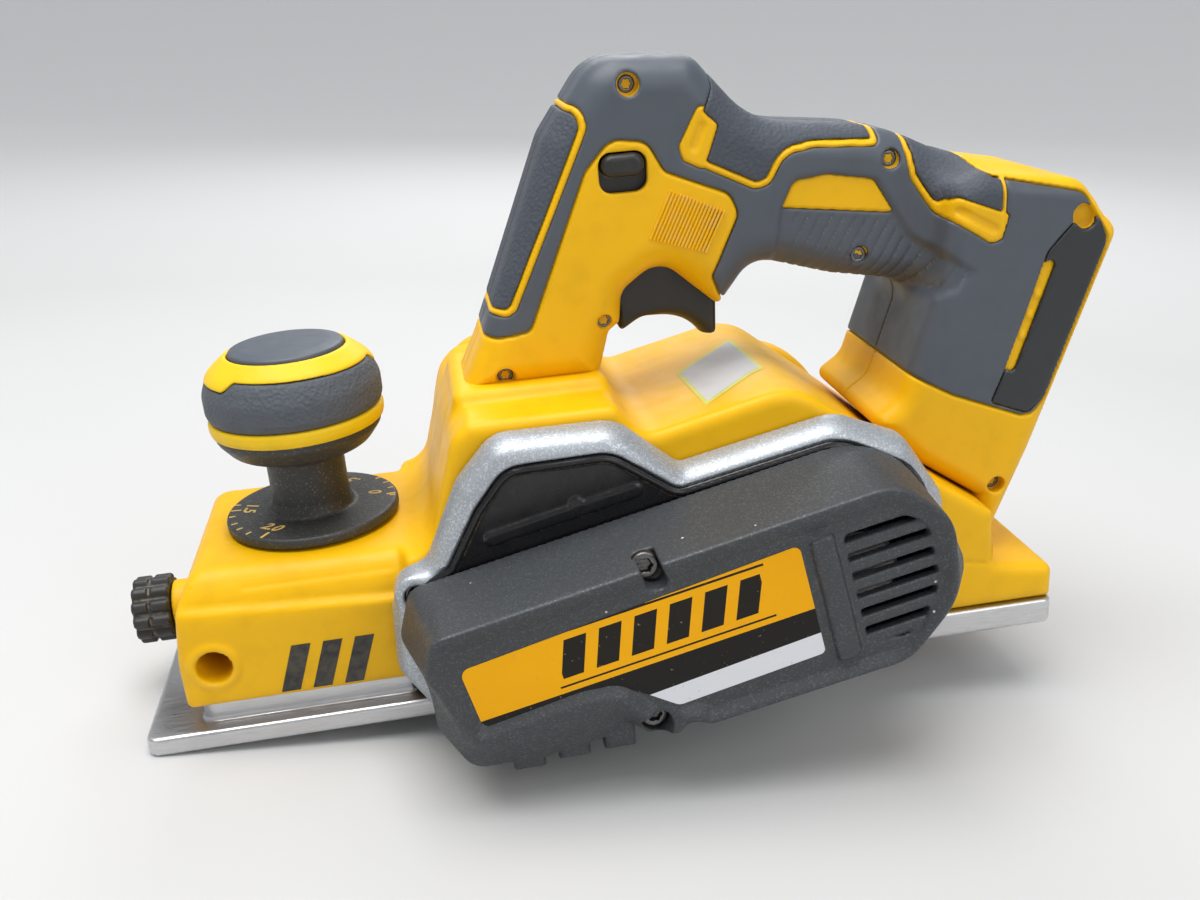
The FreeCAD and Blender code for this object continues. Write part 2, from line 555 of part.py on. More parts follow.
def make_guide_clamp():
    """The knurled knob at the nose, whose screw clamps a guide rod in the cross bore."""
    knob = Part.makeCylinder(10.5, 11, Vector(-204.5, 0, size("clamp_z")), Vector(1, 0, 0))
    for i in range(12):
        angle = math.radians(30 * i)
        flute = Part.makeCylinder(1.8, 13, Vector(-206, 11.3 * math.cos(angle),
                                  size("clamp_z") + 11.3 * math.sin(angle)), Vector(1, 0, 0))
        knob = knob.cut(flute)
    screw_end = size("rod_x") - size("rod_radius") - 0.4
    screw = Part.makeCylinder(size("clamp_screw_radius"), screw_end + 200,
                              Vector(-200, 0, size("clamp_z")), Vector(1, 0, 0))
    piece(freeform("clamp_knob_shape", knob.cut(screw)), "guide_clamp_knob")
    piece(freeform("clamp_screw_shape", screw), "guide_clamp_screw")


# ---------------------------------------------------------------- handle
RAIL = Vector(-0.346, 0, -0.938)
INWARD = Vector(-0.938, 0, 0.346)


def post_place(along, depth):
    """A place on the battery face, measured down from its top corner and in from its surface."""
    place = Vector(96.5, 0, 119) + RAIL * along + INWARD * depth
    return (place.x, place.z, 0)


def handle_solid(sign, inset, radii):
    """One half of the handle from the middle plane outwards, drawn in all round by inset."""
    grip_side, post_side = sign * (size("handle_side") - inset), sign * (size("post_side") - inset)
    grip = softened(slab(GRIP, 0, grip_side, inset), grip_side, [r - inset for r in radii])
    post = softened(slab(POST, 0, post_side, inset), post_side, [r - inset for r in radii])
    return grip.fuse(post)


def make_handle():
    """Two clamshell halves with a rubber skin moulded over their upper part, and their screws."""
    rails = [
        slab([post_place(62, -5), post_place(62, 12), post_place(-30, 12), post_place(-30, -5)], -24, 24),
        slab([post_place(62, 5), post_place(62, 9), post_place(-30, 9), post_place(-30, 5)], -27, 27),
    ]
    lock_x, lock_z = size("lock_x"), size("lock_z")
    long, high = size("lock_long") / 2 + 0.35, size("lock_high") / 2 + 0.35
    top, low = lock_z + high, lock_z - high - size("lock_travel")
    lock_slot = slab([(lock_x - long, top, 3.4), (lock_x + long, top, 3.4),
                      (lock_x + long, low, 3.4), (lock_x - long, low, 3.4)], -31, 31)
    openings = rails + [
        lock_slot,
        brick((-50.5, -9, 90), (-15, 9, 128.5)),
        brick((-60, -9, 104), (-50, 9, 128.5)),
        drum(size("trigger_x"), size("trigger_z"), -16.5, 16.5, 2),
        drum(size("trigger_x"), size("trigger_z"), 8, 14.5, 3.4),
        drum(88, 121, -31, 31, 3.2),
    ]
    side = size("handle_side")
    for label, sign in (("left", -1), ("right", 1)):
        outer = handle_solid(sign, 0, (8, 6, 4))
        core = handle_solid(sign, size("skin"), (8, 6, 4))
        foot = slab([(-101, 88, 0), (-100, 91, 1), (-56.5, 91, 1), (-56, 88, 0)], 0, sign * 22)
        outer = outer.fuse(foot)
        outer = outer.cut(duct_bulge(60))
        skin = outer.cut(core).common(slab(GREY, sign * 40, 0) if sign < 0 else slab(GREY, 0, 40))
        half = outer.cut(skin)
        wall = size("handle_wall")
        room = slab(GRIP, 0, sign * (side - wall), wall).fuse(
            slab(POST_ROOM, 0, sign * (size("post_side") - wall)))
        room = room.cut(brick((-110, -40, 80), (-40, 40, 92)))
        for x, z, _ in HANDLE_SCREWS:
            room = room.cut(drum(x, z, -40, 40, 4.5))
        half = half.cut(room)
        for x, z, tip in HANDLE_SCREWS:
            depth = side if x < 40 else size("post_side")
            half = half.cut(drum(x, z, -depth + 6, tip, 1.5))
            head = drum(x, z, -depth - 1, -depth + 6, 3.2)
            half, skin = half.cut(head), skin.cut(head)
        for opening in openings:
            half, skin = half.cut(opening), skin.cut(opening)
        solids = sorted(half.Solids, key=lambda s: -s.Volume)
        piece(freeform("handle_shell_" + label, solids[0]), "handle_" + label)
        skins = [s for s in skin.Solids if s.Volume > 5]
        piece(freeform("handle_skin_" + label, Part.makeCompound(skins)), "overmould_" + label)
    screws = []
    for x, z, tip in HANDLE_SCREWS:
        depth = side if x < 40 else size("post_side")
        screws.append(drum(x, z, -depth + 6, tip, 1.5).fuse(drum(x, z, -depth + 4, -depth + 6, 2.6)))
    piece(freeform("handle_screw_set", Part.makeCompound(screws)), "handle_screws")


def make_controls():
    """Trigger, lock-off button, switch, electronics and the battery's contacts."""
    x, z, side = size("trigger_x"), size("trigger_z"), size("trigger_side")
    paddle = softened(slab(TRIGGER, -side, side), -side, (1.5, 1))
    paddle = softened(paddle, side, (1.5, 1)).cut(drum(x, z, -20, 20, 2 + size("running_gap")))
    piece(freeform("trigger_paddle", paddle), "trigger")
    piece(rod("trigger_axle", "y", ("trigger_x", "trigger_z"), -16.5, 16.5, 2), "trigger_pin")
    piece(freeform("trigger_coil", coil((x, 9.8, z), "y", 2.7, 0.7, 3.9, 2)), "trigger_spring")

    lock_x, lock_z = size("lock_x"), size("lock_z")
    long, high = size("lock_long") / 2, size("lock_high") / 2
    bar = slab([(lock_x - long, lock_z + high, 3.1), (lock_x + long, lock_z + high, 3.1),
                (lock_x + long, lock_z - high, 3.1), (lock_x - long, lock_z - high, 3.1)], -19.5, 19.5)
    bar = softened(softened(bar, -19.5, (1.5, 1)), 19.5, (1.5, 1))
    piece(freeform("lock_bar", bar), "lock_off_button")
    piece(freeform("lock_coil", coil((lock_x, 0, 138.45), "z", 2.4, 0.8, 7.9, 4)), "lock_off_spring")
    piece(block("switch_block", (-60, -10, 129), (-30, 10, 138)), "switch_module")
    piece(block("control_block", (50, -22, 80), (61, 22, 118)), "control_module")
    contact = slab([post_place(14, 4), post_place(14, 12), post_place(44, 12), post_place(44, 4)], -11, 11)
    for y in (-8, -4, 0, 4, 8):
        contact = contact.cut(slab([post_place(10, 3), post_place(10, 8), post_place(36, 8),
                                    post_place(36, 3)], y - 0.8, y + 0.8))
    piece(freeform("contact_block", contact), "battery_terminals")


# ---------------------------------------------------------------- kickstand
def make_kickstand():
    """The stand under the tail: it hangs down through the shoe's notch and folds up to the rear."""
    x, z, side = size("stand_x"), size("stand_z"), size("stand_side")
    arm = slab(STAND, -side, side).fuse(drum(x, z, -side, side, 4.2)).removeSplitter()
    arm = arm.cut(drum(x, z, -20, 20, 2 + size("running_gap")))
    arm = arm.cut(drum(x, z, 2.9, side + 1, 3.9))
    piece(freeform("stand_arm", arm), "kickstand")
    piece(rod("stand_axle", "y", ("stand_x", "stand_z"), -15, 15, 2), "kickstand_pin")
    piece(freeform("stand_coil", coil((x, 3.5, z), "y", 2.9, 0.7, 3.9, 2)), "kickstand_spring")


make_shoes()
make_cutter()
make_motor()
make_housings()
make_depth_knob()
make_guide_clamp()
make_handle()
make_controls()
make_kickstand()
doc.recompute()

# ---------------------------------------------------------------- checks and export
for item in doc.Objects:
    if "Invalid" in item.State or "Error" in item.State:
        raise RuntimeError("failed: %s %s" % (item.Name, item.State))
for item in PIECES:
    if item.Shape.isNull() or not item.Shape.isValid() or not item.Shape.Solids:
        raise RuntimeError("bad shape: " + item.Label)
for item in PIECES:
    item.Shape.exportStep("parts/%s.step" % item.Label)
    box = item.Shape.BoundBox
    print("%-22s %2d solids %9.0f mm3  x %6.1f..%6.1f y %6.1f..%6.1f z %6.1f..%6.1f" % (
        item.Label, len(item.Shape.Solids), item.Shape.Volume, box.XMin, box.XMax,
        box.YMin, box.YMax, box.ZMin, box.ZMax))
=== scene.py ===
"""Looks of the cordless hand planer: moulded shells from distance fields, procedural materials, a studio."""

import math

import bpy
import numpy as np
import openvdb
from mathutils import Matrix, Vector
from mathutils.bvhtree import BVHTree


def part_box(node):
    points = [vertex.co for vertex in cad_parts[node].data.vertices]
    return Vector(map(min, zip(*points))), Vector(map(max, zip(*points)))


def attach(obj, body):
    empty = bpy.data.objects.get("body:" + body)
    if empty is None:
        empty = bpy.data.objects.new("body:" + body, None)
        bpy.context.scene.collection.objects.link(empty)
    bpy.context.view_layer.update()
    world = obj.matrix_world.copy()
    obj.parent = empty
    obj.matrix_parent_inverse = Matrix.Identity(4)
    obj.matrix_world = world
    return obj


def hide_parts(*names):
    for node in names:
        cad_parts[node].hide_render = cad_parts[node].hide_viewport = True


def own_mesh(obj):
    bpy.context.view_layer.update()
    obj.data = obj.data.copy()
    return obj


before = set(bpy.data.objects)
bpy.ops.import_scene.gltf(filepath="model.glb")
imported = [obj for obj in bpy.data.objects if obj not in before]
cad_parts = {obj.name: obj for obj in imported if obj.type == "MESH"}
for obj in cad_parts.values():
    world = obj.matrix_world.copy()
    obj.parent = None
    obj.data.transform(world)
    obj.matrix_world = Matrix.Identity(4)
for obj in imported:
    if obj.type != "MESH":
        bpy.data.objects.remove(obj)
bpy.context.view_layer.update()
MM = 0.001
FAR = 9.0
TINY, FINE, MIDDLE, COARSE = 0.4, 0.5, 0.6, 0.85


def span(node):
    """The lowest and highest corner of a CAD node, in millimetres."""
    return [np.array(corner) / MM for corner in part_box(node)]


def middle(node):
    """The X and Z of a CAD node's centre, in millimetres."""
    low, high = span(node)
    return (low[0] + high[0]) / 2, (low[2] + high[2]) / 2


# ---- sizes taken from the frame
SHOE_LOW, SHOE_HIGH = span("rear_shoe")
FRONT_LOW, FRONT_HIGH = span("front_shoe")
DIAL_LOW, DIAL_HIGH = span("depth_dial")
PORT_LOW, PORT_HIGH = span("chip_port")
CAP_LOW, CAP_HIGH = span("motor_end_cap")
CLAMP_LOW, CLAMP_HIGH = span("guide_clamp_knob")
LOCK_LOW, LOCK_HIGH = span("lock_off_button")
CUTTER, PORT, PIN = middle("drum_bearing_left"), middle("chip_port"), middle("trigger_pin")
HINGE, LOCK = middle("kickstand_pin"), middle("lock_off_button")
MOTOR, CLAMP_Z = (0, middle("motor_bearing_left")[1]), middle("guide_clamp_knob")[1]
PLATE_FACE, COVER_FACE = span("belt_back_plate")[0][1], span("belt_cover")[0][1]
POST_SIDE, SIDE = -span("handle_left")[0][1], SHOE_HIGH[1]
NOSE, TAIL = FRONT_LOW[0], SHOE_HIGH[0]
KNOB_X, KNOB_R = middle("depth_dial")[0], (DIAL_HIGH[0] - DIAL_LOW[0]) / 2
PORT_R, BORE_R = (PORT_HIGH[0] - PORT_LOW[0]) / 2, 14
ROD_X, ROD_Z, ROD_R = -177, 25, 5
HANDLE_SIDE, DECK_Z, DIAL_TOP = 18, 51.5, 55
SEAM = 0.05     # each handle half stops this far from the middle
LINE = 0.85     # half the width of the handle's yellow lines

# ---- outlines, as (x, z, corner radius)
BODY = [
    (-187, 12, 2), (-187, 26, 4), (-185, 42, 3), (-180, DECK_Z, 7), (-113, DECK_Z - 1, 10), (-103, 84, 12),
    (-98, 88, 1), (-57, 88, 3), (-50, 78, 8), (-5.6, 87.7, 18), (36, 54, 3), (56, 40, 1), (57, 22, 2),
    (TAIL, 19, 3), (TAIL, 8, 0), (-80, 8, 0), (-80, 12, 0),
]
FRAME = [
    (-125, 40, 8), (-113, 53, 6), (-103, 74, 12), (-92, 86, 10), (-58, 85.5, 12), (-41, 70.5, 4),
    (4, 79.5, 14), (24, 71, 10), (36, 52, 12), (37, 30, 18), (22, 12, 15), (-50, 3.5, 8),
    (-116, 3.5, 10), (-126, 20, 8),
]
PLATE = [
    (-121, 45, 3), (-108, 52, 3), (-99, 68, 8), (-90, 79, 10), (-61, 79.5, 12), (-43, 66, 6), (3, 75, 15),
    (28, 62, 18), (31, 30, 16), (10, 16, 14), (-50, 7, 5), (-112, 7, 6),
]
COVER = [
    (-119.5, 47.8, 5), (22.8, 78.2, 26.5), (34, 25.4, 26.5), (-52, 7, 4), (-60, 7, 2), (-66, 12, 2),
    (-73, 7, 2), (-90, 4, 4), (-108, 4, 7), (-124, 33, 8),
]
CREST = [
    (-114.5, 47.3, 5), (8, 73.5, 14), (23.5, 61, 14), (25, 38, 16), (12, 21, 12), (-44, 10.5, 3),
    (-47, 13, 1), (-51, 13, 1), (-53, 8.5, 1.5), (-62, 16, 4), (-68, 22.5, 5), (-77, 22, 5), (-106, 15, 5),
    (-117, 37, 6),
]
LABEL = [
    (-108.3, 36.8, 2.5), (-103.9, 18.8, 3), (-70, 26.3, 5), (-60, 21.6, 5), (-51.8, 16.9, 3),
    (-11.3, 26.2, 1.5), (-18.2, 59.0, 2),
]
VENTS = [(-6.4, 60, 3), (6, 64.5, 10), (16.5, 61, 9), (20.8, 42, 14), (15, 27.5, 8), (1, 26.8, 2)]
BAR = [(-15.6, 59.6, 1), (-9.4, 61.6, 1), (-1.4, 25.6, 1.5), (-3.5, 23.6, 1.5), (-7.8, 23.4, 1.5)]
POCKET = [(-61.4, 63.4, 0.8), (-56.6, 64.6, 0.8), (-52.8, 53.8, 2.2), (-54.4, 51.6, 2.2), (-58.2, 52.2, 2.2)]
GRIP = [
    (-99, 88, 0), (-91.5, 102, 8), (-67.5, 158, 14), (-52, 178.5, 14), (-25, 177, 7), (-8, 157.5, 25),
    (30, 153, 50), (58, 139, 12), (72, 135, 0), (60, 96, 0), (38, 106.5, 12), (15, 111, 20),
    (-9, 118.5, 9), (-20, 105.5, 1.5), (-37, 121, 8), (-48.5, 113, 6), (-49.5, 104, 2), (-53, 101.5, 2),
    (-57, 88, 0),
]
POST = [
    (54, 139.5, 4), (84, 135, 9), (96.5, 119, 5), (72.5, 54, 3), (61, 27, 2), (57, 22, 0), (56, 40, 0),
    (36, 54, 0), (21, 69, 3), (30, 75, 8), (41, 106, 8), (45, 136, 5),
]
GREY = [
    (-115, 107, 0), (-86, 104.5, 3), (-76.5, 106, 3), (-57.5, 149, 7), (-50, 157, 6), (-40, 155.5, 5),
    (-35.5, 147, 4), (-17, 139, 5), (-14.5, 133, 4), (-23, 116, 2), (-20.5, 110, 2), (-14, 103, 0),
    (0, 96, 0), (20, 90, 0), (46, 75, 10), (70, 65, 5), (76, 71, 3), (92.5, 117, 6), (84, 131.5, 7),
    (56, 138.2, 3), (50, 150, 0), (50, 200, 0), (-110, 200, 0),
]
FRONT_PAD = [
    (-110, 112.5, 0), (-82.5, 110.6, 3), (-80, 112.5, 3), (-56, 161, 4), (-57.5, 166, 4), (-64, 168, 3),
    (-95, 178, 0),
]
THUMB_PAD = [
    (-30.8, 153.5, 1.5), (-29.8, 150, 1.5), (-9.5, 139.6, 3), (-5, 140.4, 4), (-0.5, 148.3, 7), (8, 149.4, 0),
    (27.6, 148, 2), (27.6, 190, 0), (-22.4, 190, 0), (-22.4, 168.5, 1), (-25.3, 163.3, 1),
]
THUMB_BADGE = [
    (-25.3, 163.6, 0.8), (-19.7, 158.2, 0.8), (-22.6, 150.6, 0.8), (-24.5, 146.8, 1), (-30, 149.6, 1.5),
    (-31, 153.5, 1.5),
]
REAR_PAD = [
    (34.8, 190, 0), (35.4, 147, 3), (36.6, 138.5, 6), (43, 128, 2), (55.5, 120, 1.5), (58.8, 120.6, 1.5),
    (60.6, 127.5, 1), (60.8, 137, 0), (60.8, 190, 0),
]
REAR_BADGE = [
    (41.6, 129.4, 1), (55.5, 119.8, 1.5), (58.9, 120.5, 1.2), (60.9, 127.4, 0.8), (46.2, 133.4, 0.8),
    (43.8, 131.6, 0.8),
]
TRAPEZOID = [(-1.4, 133.4, 0.6), (2.2, 140.4, 3), (12, 141.4, 5), (25.8, 138.8, 3), (32, 128.7, 0.6)]
HOLLOW = [
    (-3.2, 133, 3), (1.4, 142.4, 4), (12, 143.2, 6), (27.2, 140.2, 5), (38, 122.5, 5), (53, 112.2, 1.5),
    (47, 106, 2), (30, 100, 6), (0, 104, 6), (-5, 118, 5),
]
RIBBED = [
    (2, 132.2, 1), (31.8, 127.4, 1), (37.5, 120.2, 3), (51, 111.8, 1), (46, 106, 2), (30, 100, 5),
    (4, 104, 5), (-1, 120, 5),
]
PANEL = [
    (84.5, 127, 4), (78.4, 121, 4), (73.2, 115.5, 5), (68, 99, 12), (63, 84, 12), (57.8, 71.4, 1),
    (69.6, 66.6, 2), (75.2, 71.2, 3), (91.6, 116.6, 5), (89.6, 123, 5),
]
TRIGGER = [
    (-57, 110, 3), (-57, 118, 3), (-47, 123, 3), (-22, 123, 3), (-19.5, 112, 0), (-20, 96.5, 1.5),
    (-25, 94.3, 1.5), (-34, 101.5, 8), (-42, 104, 5), (-49.3, 99.8, 1), (-50, 108, 0.5),
]
STAND = [(39.5, 12, 0), (39.5, -18, 3), (37.5, -22, 0.5), (45, -22, 3), (46.5, 12, 0)]
HANDLE_SCREWS = [
    (-44, 171, 3.2), (-55, 106, 2.2), (-85, 93, 2.8), (31, 144, 2.8), (22, 117, 2.7), (61, 44, 2.7),
]
COVER_SCREWS = (-58, 57), (6, 66), (-58, 12)
FRAME_SCREWS = (-117.5, 44), (-60, 68), (-50, 14), (31, 36)
RAIL_TOP, RAIL, INWARD = np.array((96.5, 119)), np.array((-0.346, -0.938)), np.array((-0.938, 0.346))


# ---- distance fields
class Space:
    """A grid of points, in millimetres, where distances to surfaces are worked out."""

    def __init__(self, low, high, step):
        self.low, self.step = np.array(low, np.float32), step
        shapes = ((-1, 1, 1), (1, -1, 1), (1, 1, -1))
        axes = [np.arange(a, b + step, step, dtype=np.float32).reshape(shape)
                for a, b, shape in zip(low, high, shapes)]
        self.x, self.y, self.z = axes
        self.shape = np.broadcast(*axes).shape


def rounded(corners):
    """Points round a closed outline, with an arc at each corner that has a radius."""
    points = []
    for i, (u, v, radius) in enumerate(corners):
        here = np.array((u, v), float)
        back = np.array(corners[i - 1][:2], float) - here
        onward = np.array(corners[(i + 1) % len(corners)][:2], float) - here
        lengths = np.hypot(*back), np.hypot(*onward)
        back, onward = back / lengths[0], onward / lengths[1]
        half = math.acos(max(-1, min(1, back @ onward))) / 2
        if not radius or half > 1.54:
            points.append(here)
            continue
        reach = min(radius / math.tan(half), 0.49 * min(lengths))
        radius = reach * math.tan(half)
        centre = here + (back + onward) / np.hypot(*(back + onward)) * radius / math.sin(half)
        first, last = here + back * reach - centre, here + onward * reach - centre
        start = math.atan2(first[1], first[0])
        turn = (math.atan2(last[1], last[0]) - start + math.pi) % (2 * math.pi) - math.pi
        for share in np.linspace(0, 1, max(3, int(abs(turn) / 0.16) + 2)):
            angle = start + turn * share
            points.append(centre + radius * np.array((math.cos(angle), math.sin(angle))))
    return np.array(points)


def stretches(points, closed=True):
    """The line pieces of an outline that have a length."""
    ends = np.roll(points, -1, 0) if closed else points[1:]
    return [(a, b) for a, b in zip(points, ends) if np.hypot(*(b - a)) > 1e-6]


def to_line(u, v, points, closed=False):
    """Distance to a line through points."""
    best = np.full(np.broadcast(u, v).shape, FAR ** 2 * 1e3, np.float32)
    for (au, av), (bu, bv) in stretches(np.array(points, float), closed):
        du, dv = bu - au, bv - av
        t = np.clip(((u - au) * du + (v - av) * dv) / (du * du + dv * dv), 0, 1)
        best = np.minimum(best, (u - au - du * t) ** 2 + (v - av - dv * t) ** 2)
    return np.sqrt(best)


def flat(u, v, corners):
    """Signed distance to a closed outline, negative inside it."""
    points = rounded(corners)
    inside = np.zeros(np.broadcast(u, v).shape, bool)
    for (au, av), (bu, bv) in stretches(points):
        if abs(bv - av) > 1e-9:
            inside ^= ((av <= v) != (bv <= v)) & (u < au + (bu - au) * (v - av) / (bv - av))
    return np.where(inside, -1, 1) * to_line(u, v, points, True)


def slab(field, along, low, high, edge=0.5):
    """An outline's field carried from low to high, with its end edges rounded."""
    across = field + edge
    out = np.abs(along - (low + high) / 2) - (high - low) / 2 + edge
    return np.minimum(np.maximum(across, out), 0) + np.hypot(np.maximum(across, 0), np.maximum(out, 0)) - edge


def disc(s, axis, centre, low, high, radius, edge=0.5):
    """A round bar along one axis; centre holds the other two coordinates in X, Y, Z order."""
    others = [getattr(s, letter) for letter in "xyz" if letter != axis]
    return slab(np.hypot(others[0] - centre[0], others[1] - centre[1]) - radius,
                getattr(s, axis), low, high, edge)


def brick(s, low, high, edge=0.5):
    """A box between two corners, with rounded edges."""
    reach = [np.abs(c - (a + b) / 2) - (b - a) / 2 + edge for c, a, b in zip((s.x, s.y, s.z), low, high)]
    outside = np.sqrt(sum(np.maximum(r, 0) ** 2 for r in reach))
    return outside + np.minimum(np.maximum(np.maximum(reach[0], reach[1]), reach[2]), 0) - edge


def join(a, b, soft=0.0):
    """Both shapes, with a fillet of about the soft length where they meet."""
    if not soft:
        return np.minimum(a, b)
    h = np.clip(0.5 + 0.5 * (b - a) / soft, 0, 1)
    return b + (a - b) * h - soft * h * (1 - h)


def keep(a, b, soft=0.0):
    """What the two shapes share."""
    return -join(-a, -b, soft)


def carve(a, b, soft=0.0):
    """The first shape with the second taken away."""
    return -join(-a, b, soft)


def cut(body, soft, *tools):
    """The shape with every tool taken away in turn."""
    for tool in tools:
        body = carve(body, tool, soft)
    return body


def step(value, low, high):
    """A smooth rise from 0 to 1 between two values."""
    t = np.clip((value - low) / (high - low), 0, 1)
    return t * t * (3 - 2 * t)


def sample(volume, places):
    """A field's values at places given in grid steps, mixed from their eight neighbours."""
    base = np.clip(np.floor(places).astype(int), 0, np.array(volume.shape) - 2)
    part = np.clip(places - base, 0, 1)
    result = 0
    for corner in np.ndindex(2, 2, 2):
        weight = np.prod(np.where(corner, part, 1 - part), axis=1)
        result = result + weight * volume[tuple((base + corner).T)]
    return result


# ---- pieces
def put_in_scene(name, data):
    item = bpy.data.objects.new(name, data)
    bpy.context.scene.collection.objects.link(item)
    return item


def smooth_mesh(name, points, faces):
    mesh = bpy.data.meshes.new(name)
    mesh.from_pydata(points, [], faces)
    mesh.polygons.foreach_set("use_smooth", np.ones(len(faces), bool))
    return mesh


def tube_faces(rings, sides):
    """The faces between rings of points, each ring with the same number of sides."""
    return [(a + k, b + k, b + (k + 1) % sides, a + (k + 1) % sides)
            for a, b in ((i * sides, (i + 1) * sides) for i in range(rings - 1)) for k in range(sides)]


def settle(mesh, name, paint, nodes=(), body="housing"):
    """Make a mesh a named piece that rides on a CAD body and stands for the CAD nodes given."""
    item = put_in_scene(name, mesh)
    mesh.materials.append(paint.material)
    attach(item, body)
    if nodes:
        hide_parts(*nodes)
    return item


def skin(name, s, field, paint, *nodes, body="housing"):
    """The surface of a distance field as a piece, with the field's own slopes as its normals."""
    field = np.array(np.broadcast_to(field, s.shape), np.float32, order="C")
    grid = openvdb.FloatGrid(FAR)
    grid.copyFromArray(field)
    places, quads = grid.convertToQuads(0.0)
    slopes = np.stack([sample(g, places) for g in np.gradient(field)], 1)
    slopes /= np.maximum(np.linalg.norm(slopes, axis=1, keepdims=True), 1e-9)
    mesh = bpy.data.meshes.new(name)
    mesh.vertices.add(len(places))
    mesh.vertices.foreach_set("co", ((places * s.step + s.low) * MM).ravel())
    mesh.loops.add(quads.size)
    mesh.loops.foreach_set("vertex_index", quads.astype(np.int32).ravel())
    mesh.polygons.add(len(quads))
    mesh.polygons.foreach_set("loop_start", np.arange(0, quads.size, 4, dtype=np.int32))
    mesh.polygons.foreach_set("use_smooth", np.ones(len(quads), bool))
    mesh.update()
    mesh.validate()
    mesh.normals_split_custom_set_from_vertices(slopes)
    return settle(mesh, name, paint, nodes, body)


def prisms(name, outlines, axis, low, high, paint, *nodes, body="housing"):
    """Flat outlines, each carried from low to high along the Y or the Z axis."""
    corners, faces = [], []
    for points in outlines:
        start, count = len(corners), len(points)
        corners += [(u, d, v) if axis == "y" else (u, v, d) for d in (low, high) for u, v in points]
        faces += [list(range(start, start + count))[::-1], list(range(start + count, start + 2 * count))]
        faces += [[start + i, start + (i + 1) % count, start + count + (i + 1) % count, start + count + i]
                  for i in range(count)]
    mesh = bpy.data.meshes.new(name)
    mesh.from_pydata([np.array(c) * MM for c in corners], [], faces)
    return settle(mesh, name, paint, nodes, body)


# ---- materials
DUST = (0.42, 0.33, 0.2, 1.0)


class Paint:
    """A procedural material whose patterns are laid out in the row frame, with the slot it stands in."""

    def __init__(self, name, slot=None, **values):
        self.slot = slot
        self.material = bpy.data.materials.new(name)
        self.material.use_nodes = True
        self.tree = self.material.node_tree
        self.shader = self.tree.nodes["Principled BSDF"]
        self.where = self.add("ShaderNodeTexCoord").outputs["Object"]
        for key, value in values.items():
            self.shader.inputs[key.replace("_", " ")].default_value = value

    def add(self, kind, settings=None, **inputs):
        node = self.tree.nodes.new(kind)
        for key, value in (settings or {}).items():
            setattr(node, key, value)
        for key, value in inputs.items():
            self.put(node.inputs[int(key[1:])] if key[0] == "i" and key[1:].isdigit()
                     else node.inputs[key.replace("_", " ")], value)
        return node

    def put(self, socket, value):
        if hasattr(value, "is_output"):
            self.tree.links.new(value, socket)
        else:
            socket.default_value = value

    def sum(self, operation, a, b=0.0):
        return self.add("ShaderNodeMath", {"operation": operation}, i0=a, i1=b).outputs[0]

    def times(self, a, b):
        return self.sum("MULTIPLY", a, b)

    def noise(self, scale, detail=2.0, stretch=None):
        place = self.where
        if stretch:
            place = self.add("ShaderNodeMapping", Vector=place, Scale=stretch).outputs[0]
        return self.add("ShaderNodeTexNoise", Vector=place, Scale=scale, Detail=detail).outputs["Fac"]

    def cells(self, scale, output="Distance"):
        return self.add("ShaderNodeTexVoronoi", Vector=self.where, Scale=scale).outputs[output]

    def ramp(self, value, low, high, start=0.0, end=1.0):
        return self.add("ShaderNodeMapRange", Value=value, From_Min=low, From_Max=high, To_Min=start,
                        To_Max=end).outputs[0]

    def mix(self, share, a, b):
        return self.add("ShaderNodeMix", {"data_type": "RGBA"}, i0=share, i6=a, i7=b).outputs[2]

    def colour(self, value):
        self.put(self.shader.inputs["Base Color"], value)

    def rough(self, value):
        self.put(self.shader.inputs["Roughness"], value)

    def bump(self, height, strength, distance):
        below = self.shader.inputs["Normal"]
        node = self.add("ShaderNodeBump", Height=height, Strength=strength, Distance=distance * MM)
        if below.is_linked:
            self.tree.links.new(below.links[0].from_socket, node.inputs["Normal"])
        self.tree.links.new(node.outputs[0], below)

    def dirt(self, base, scale, low, high, amount, colour=DUST):
        """The base colour with patchy dirt in its creases."""
        creases = self.ramp(self.add("ShaderNodeNewGeometry").outputs["Pointiness"], 0.42, 0.49, 1.0, 0.0)
        patches = self.ramp(self.noise(scale, 4.0), low, high, 0.0, amount)
        return self.mix(self.times(creases, patches), base, colour)

    def edges(self, low=0.53, high=0.6):
        """1 along sharp outer edges, 0 elsewhere."""
        return self.ramp(self.add("ShaderNodeNewGeometry").outputs["Pointiness"], low, high)


def tone(colour, factor):
    return tuple(min(1.0, c * factor) for c in colour) + (1.0,)


def moulded(name, colour, rough, slot=None, grain=900, relief=0.25, dust=0.35, wear=0.25, gloss=0.5):
    """Moulded plastic: fine grain, slow colour drift, dust in its creases and rubbed edges."""
    p = Paint(name, slot, Specular_IOR_Level=gloss)
    drift = p.mix(p.noise(22.0), tone(colour, 0.9), tone(colour, 1.08))
    smudge = p.ramp(p.noise(130.0, 6.0), 0.5, 0.74)
    drift = p.mix(p.times(smudge, 0.22), drift, tone(colour, 0.62))
    dusty = p.dirt(drift, 420.0, 0.35, 0.62, dust)
    rubbed = p.times(p.edges(), p.ramp(p.noise(260.0, 5.0), 0.42, 0.7, 0.0, wear))
    p.colour(p.mix(rubbed, dusty, tone([0.5 + 0.5 * c for c in colour], 0.8)))
    p.rough(p.ramp(p.noise(170.0, 5.0), 0.3, 0.72, rough - 0.06, rough + 0.1))
    p.bump(p.noise(grain, 3.0), relief, 0.12)
    p.bump(p.noise(16.0, 1.0), 0.18, 1.2)
    return p


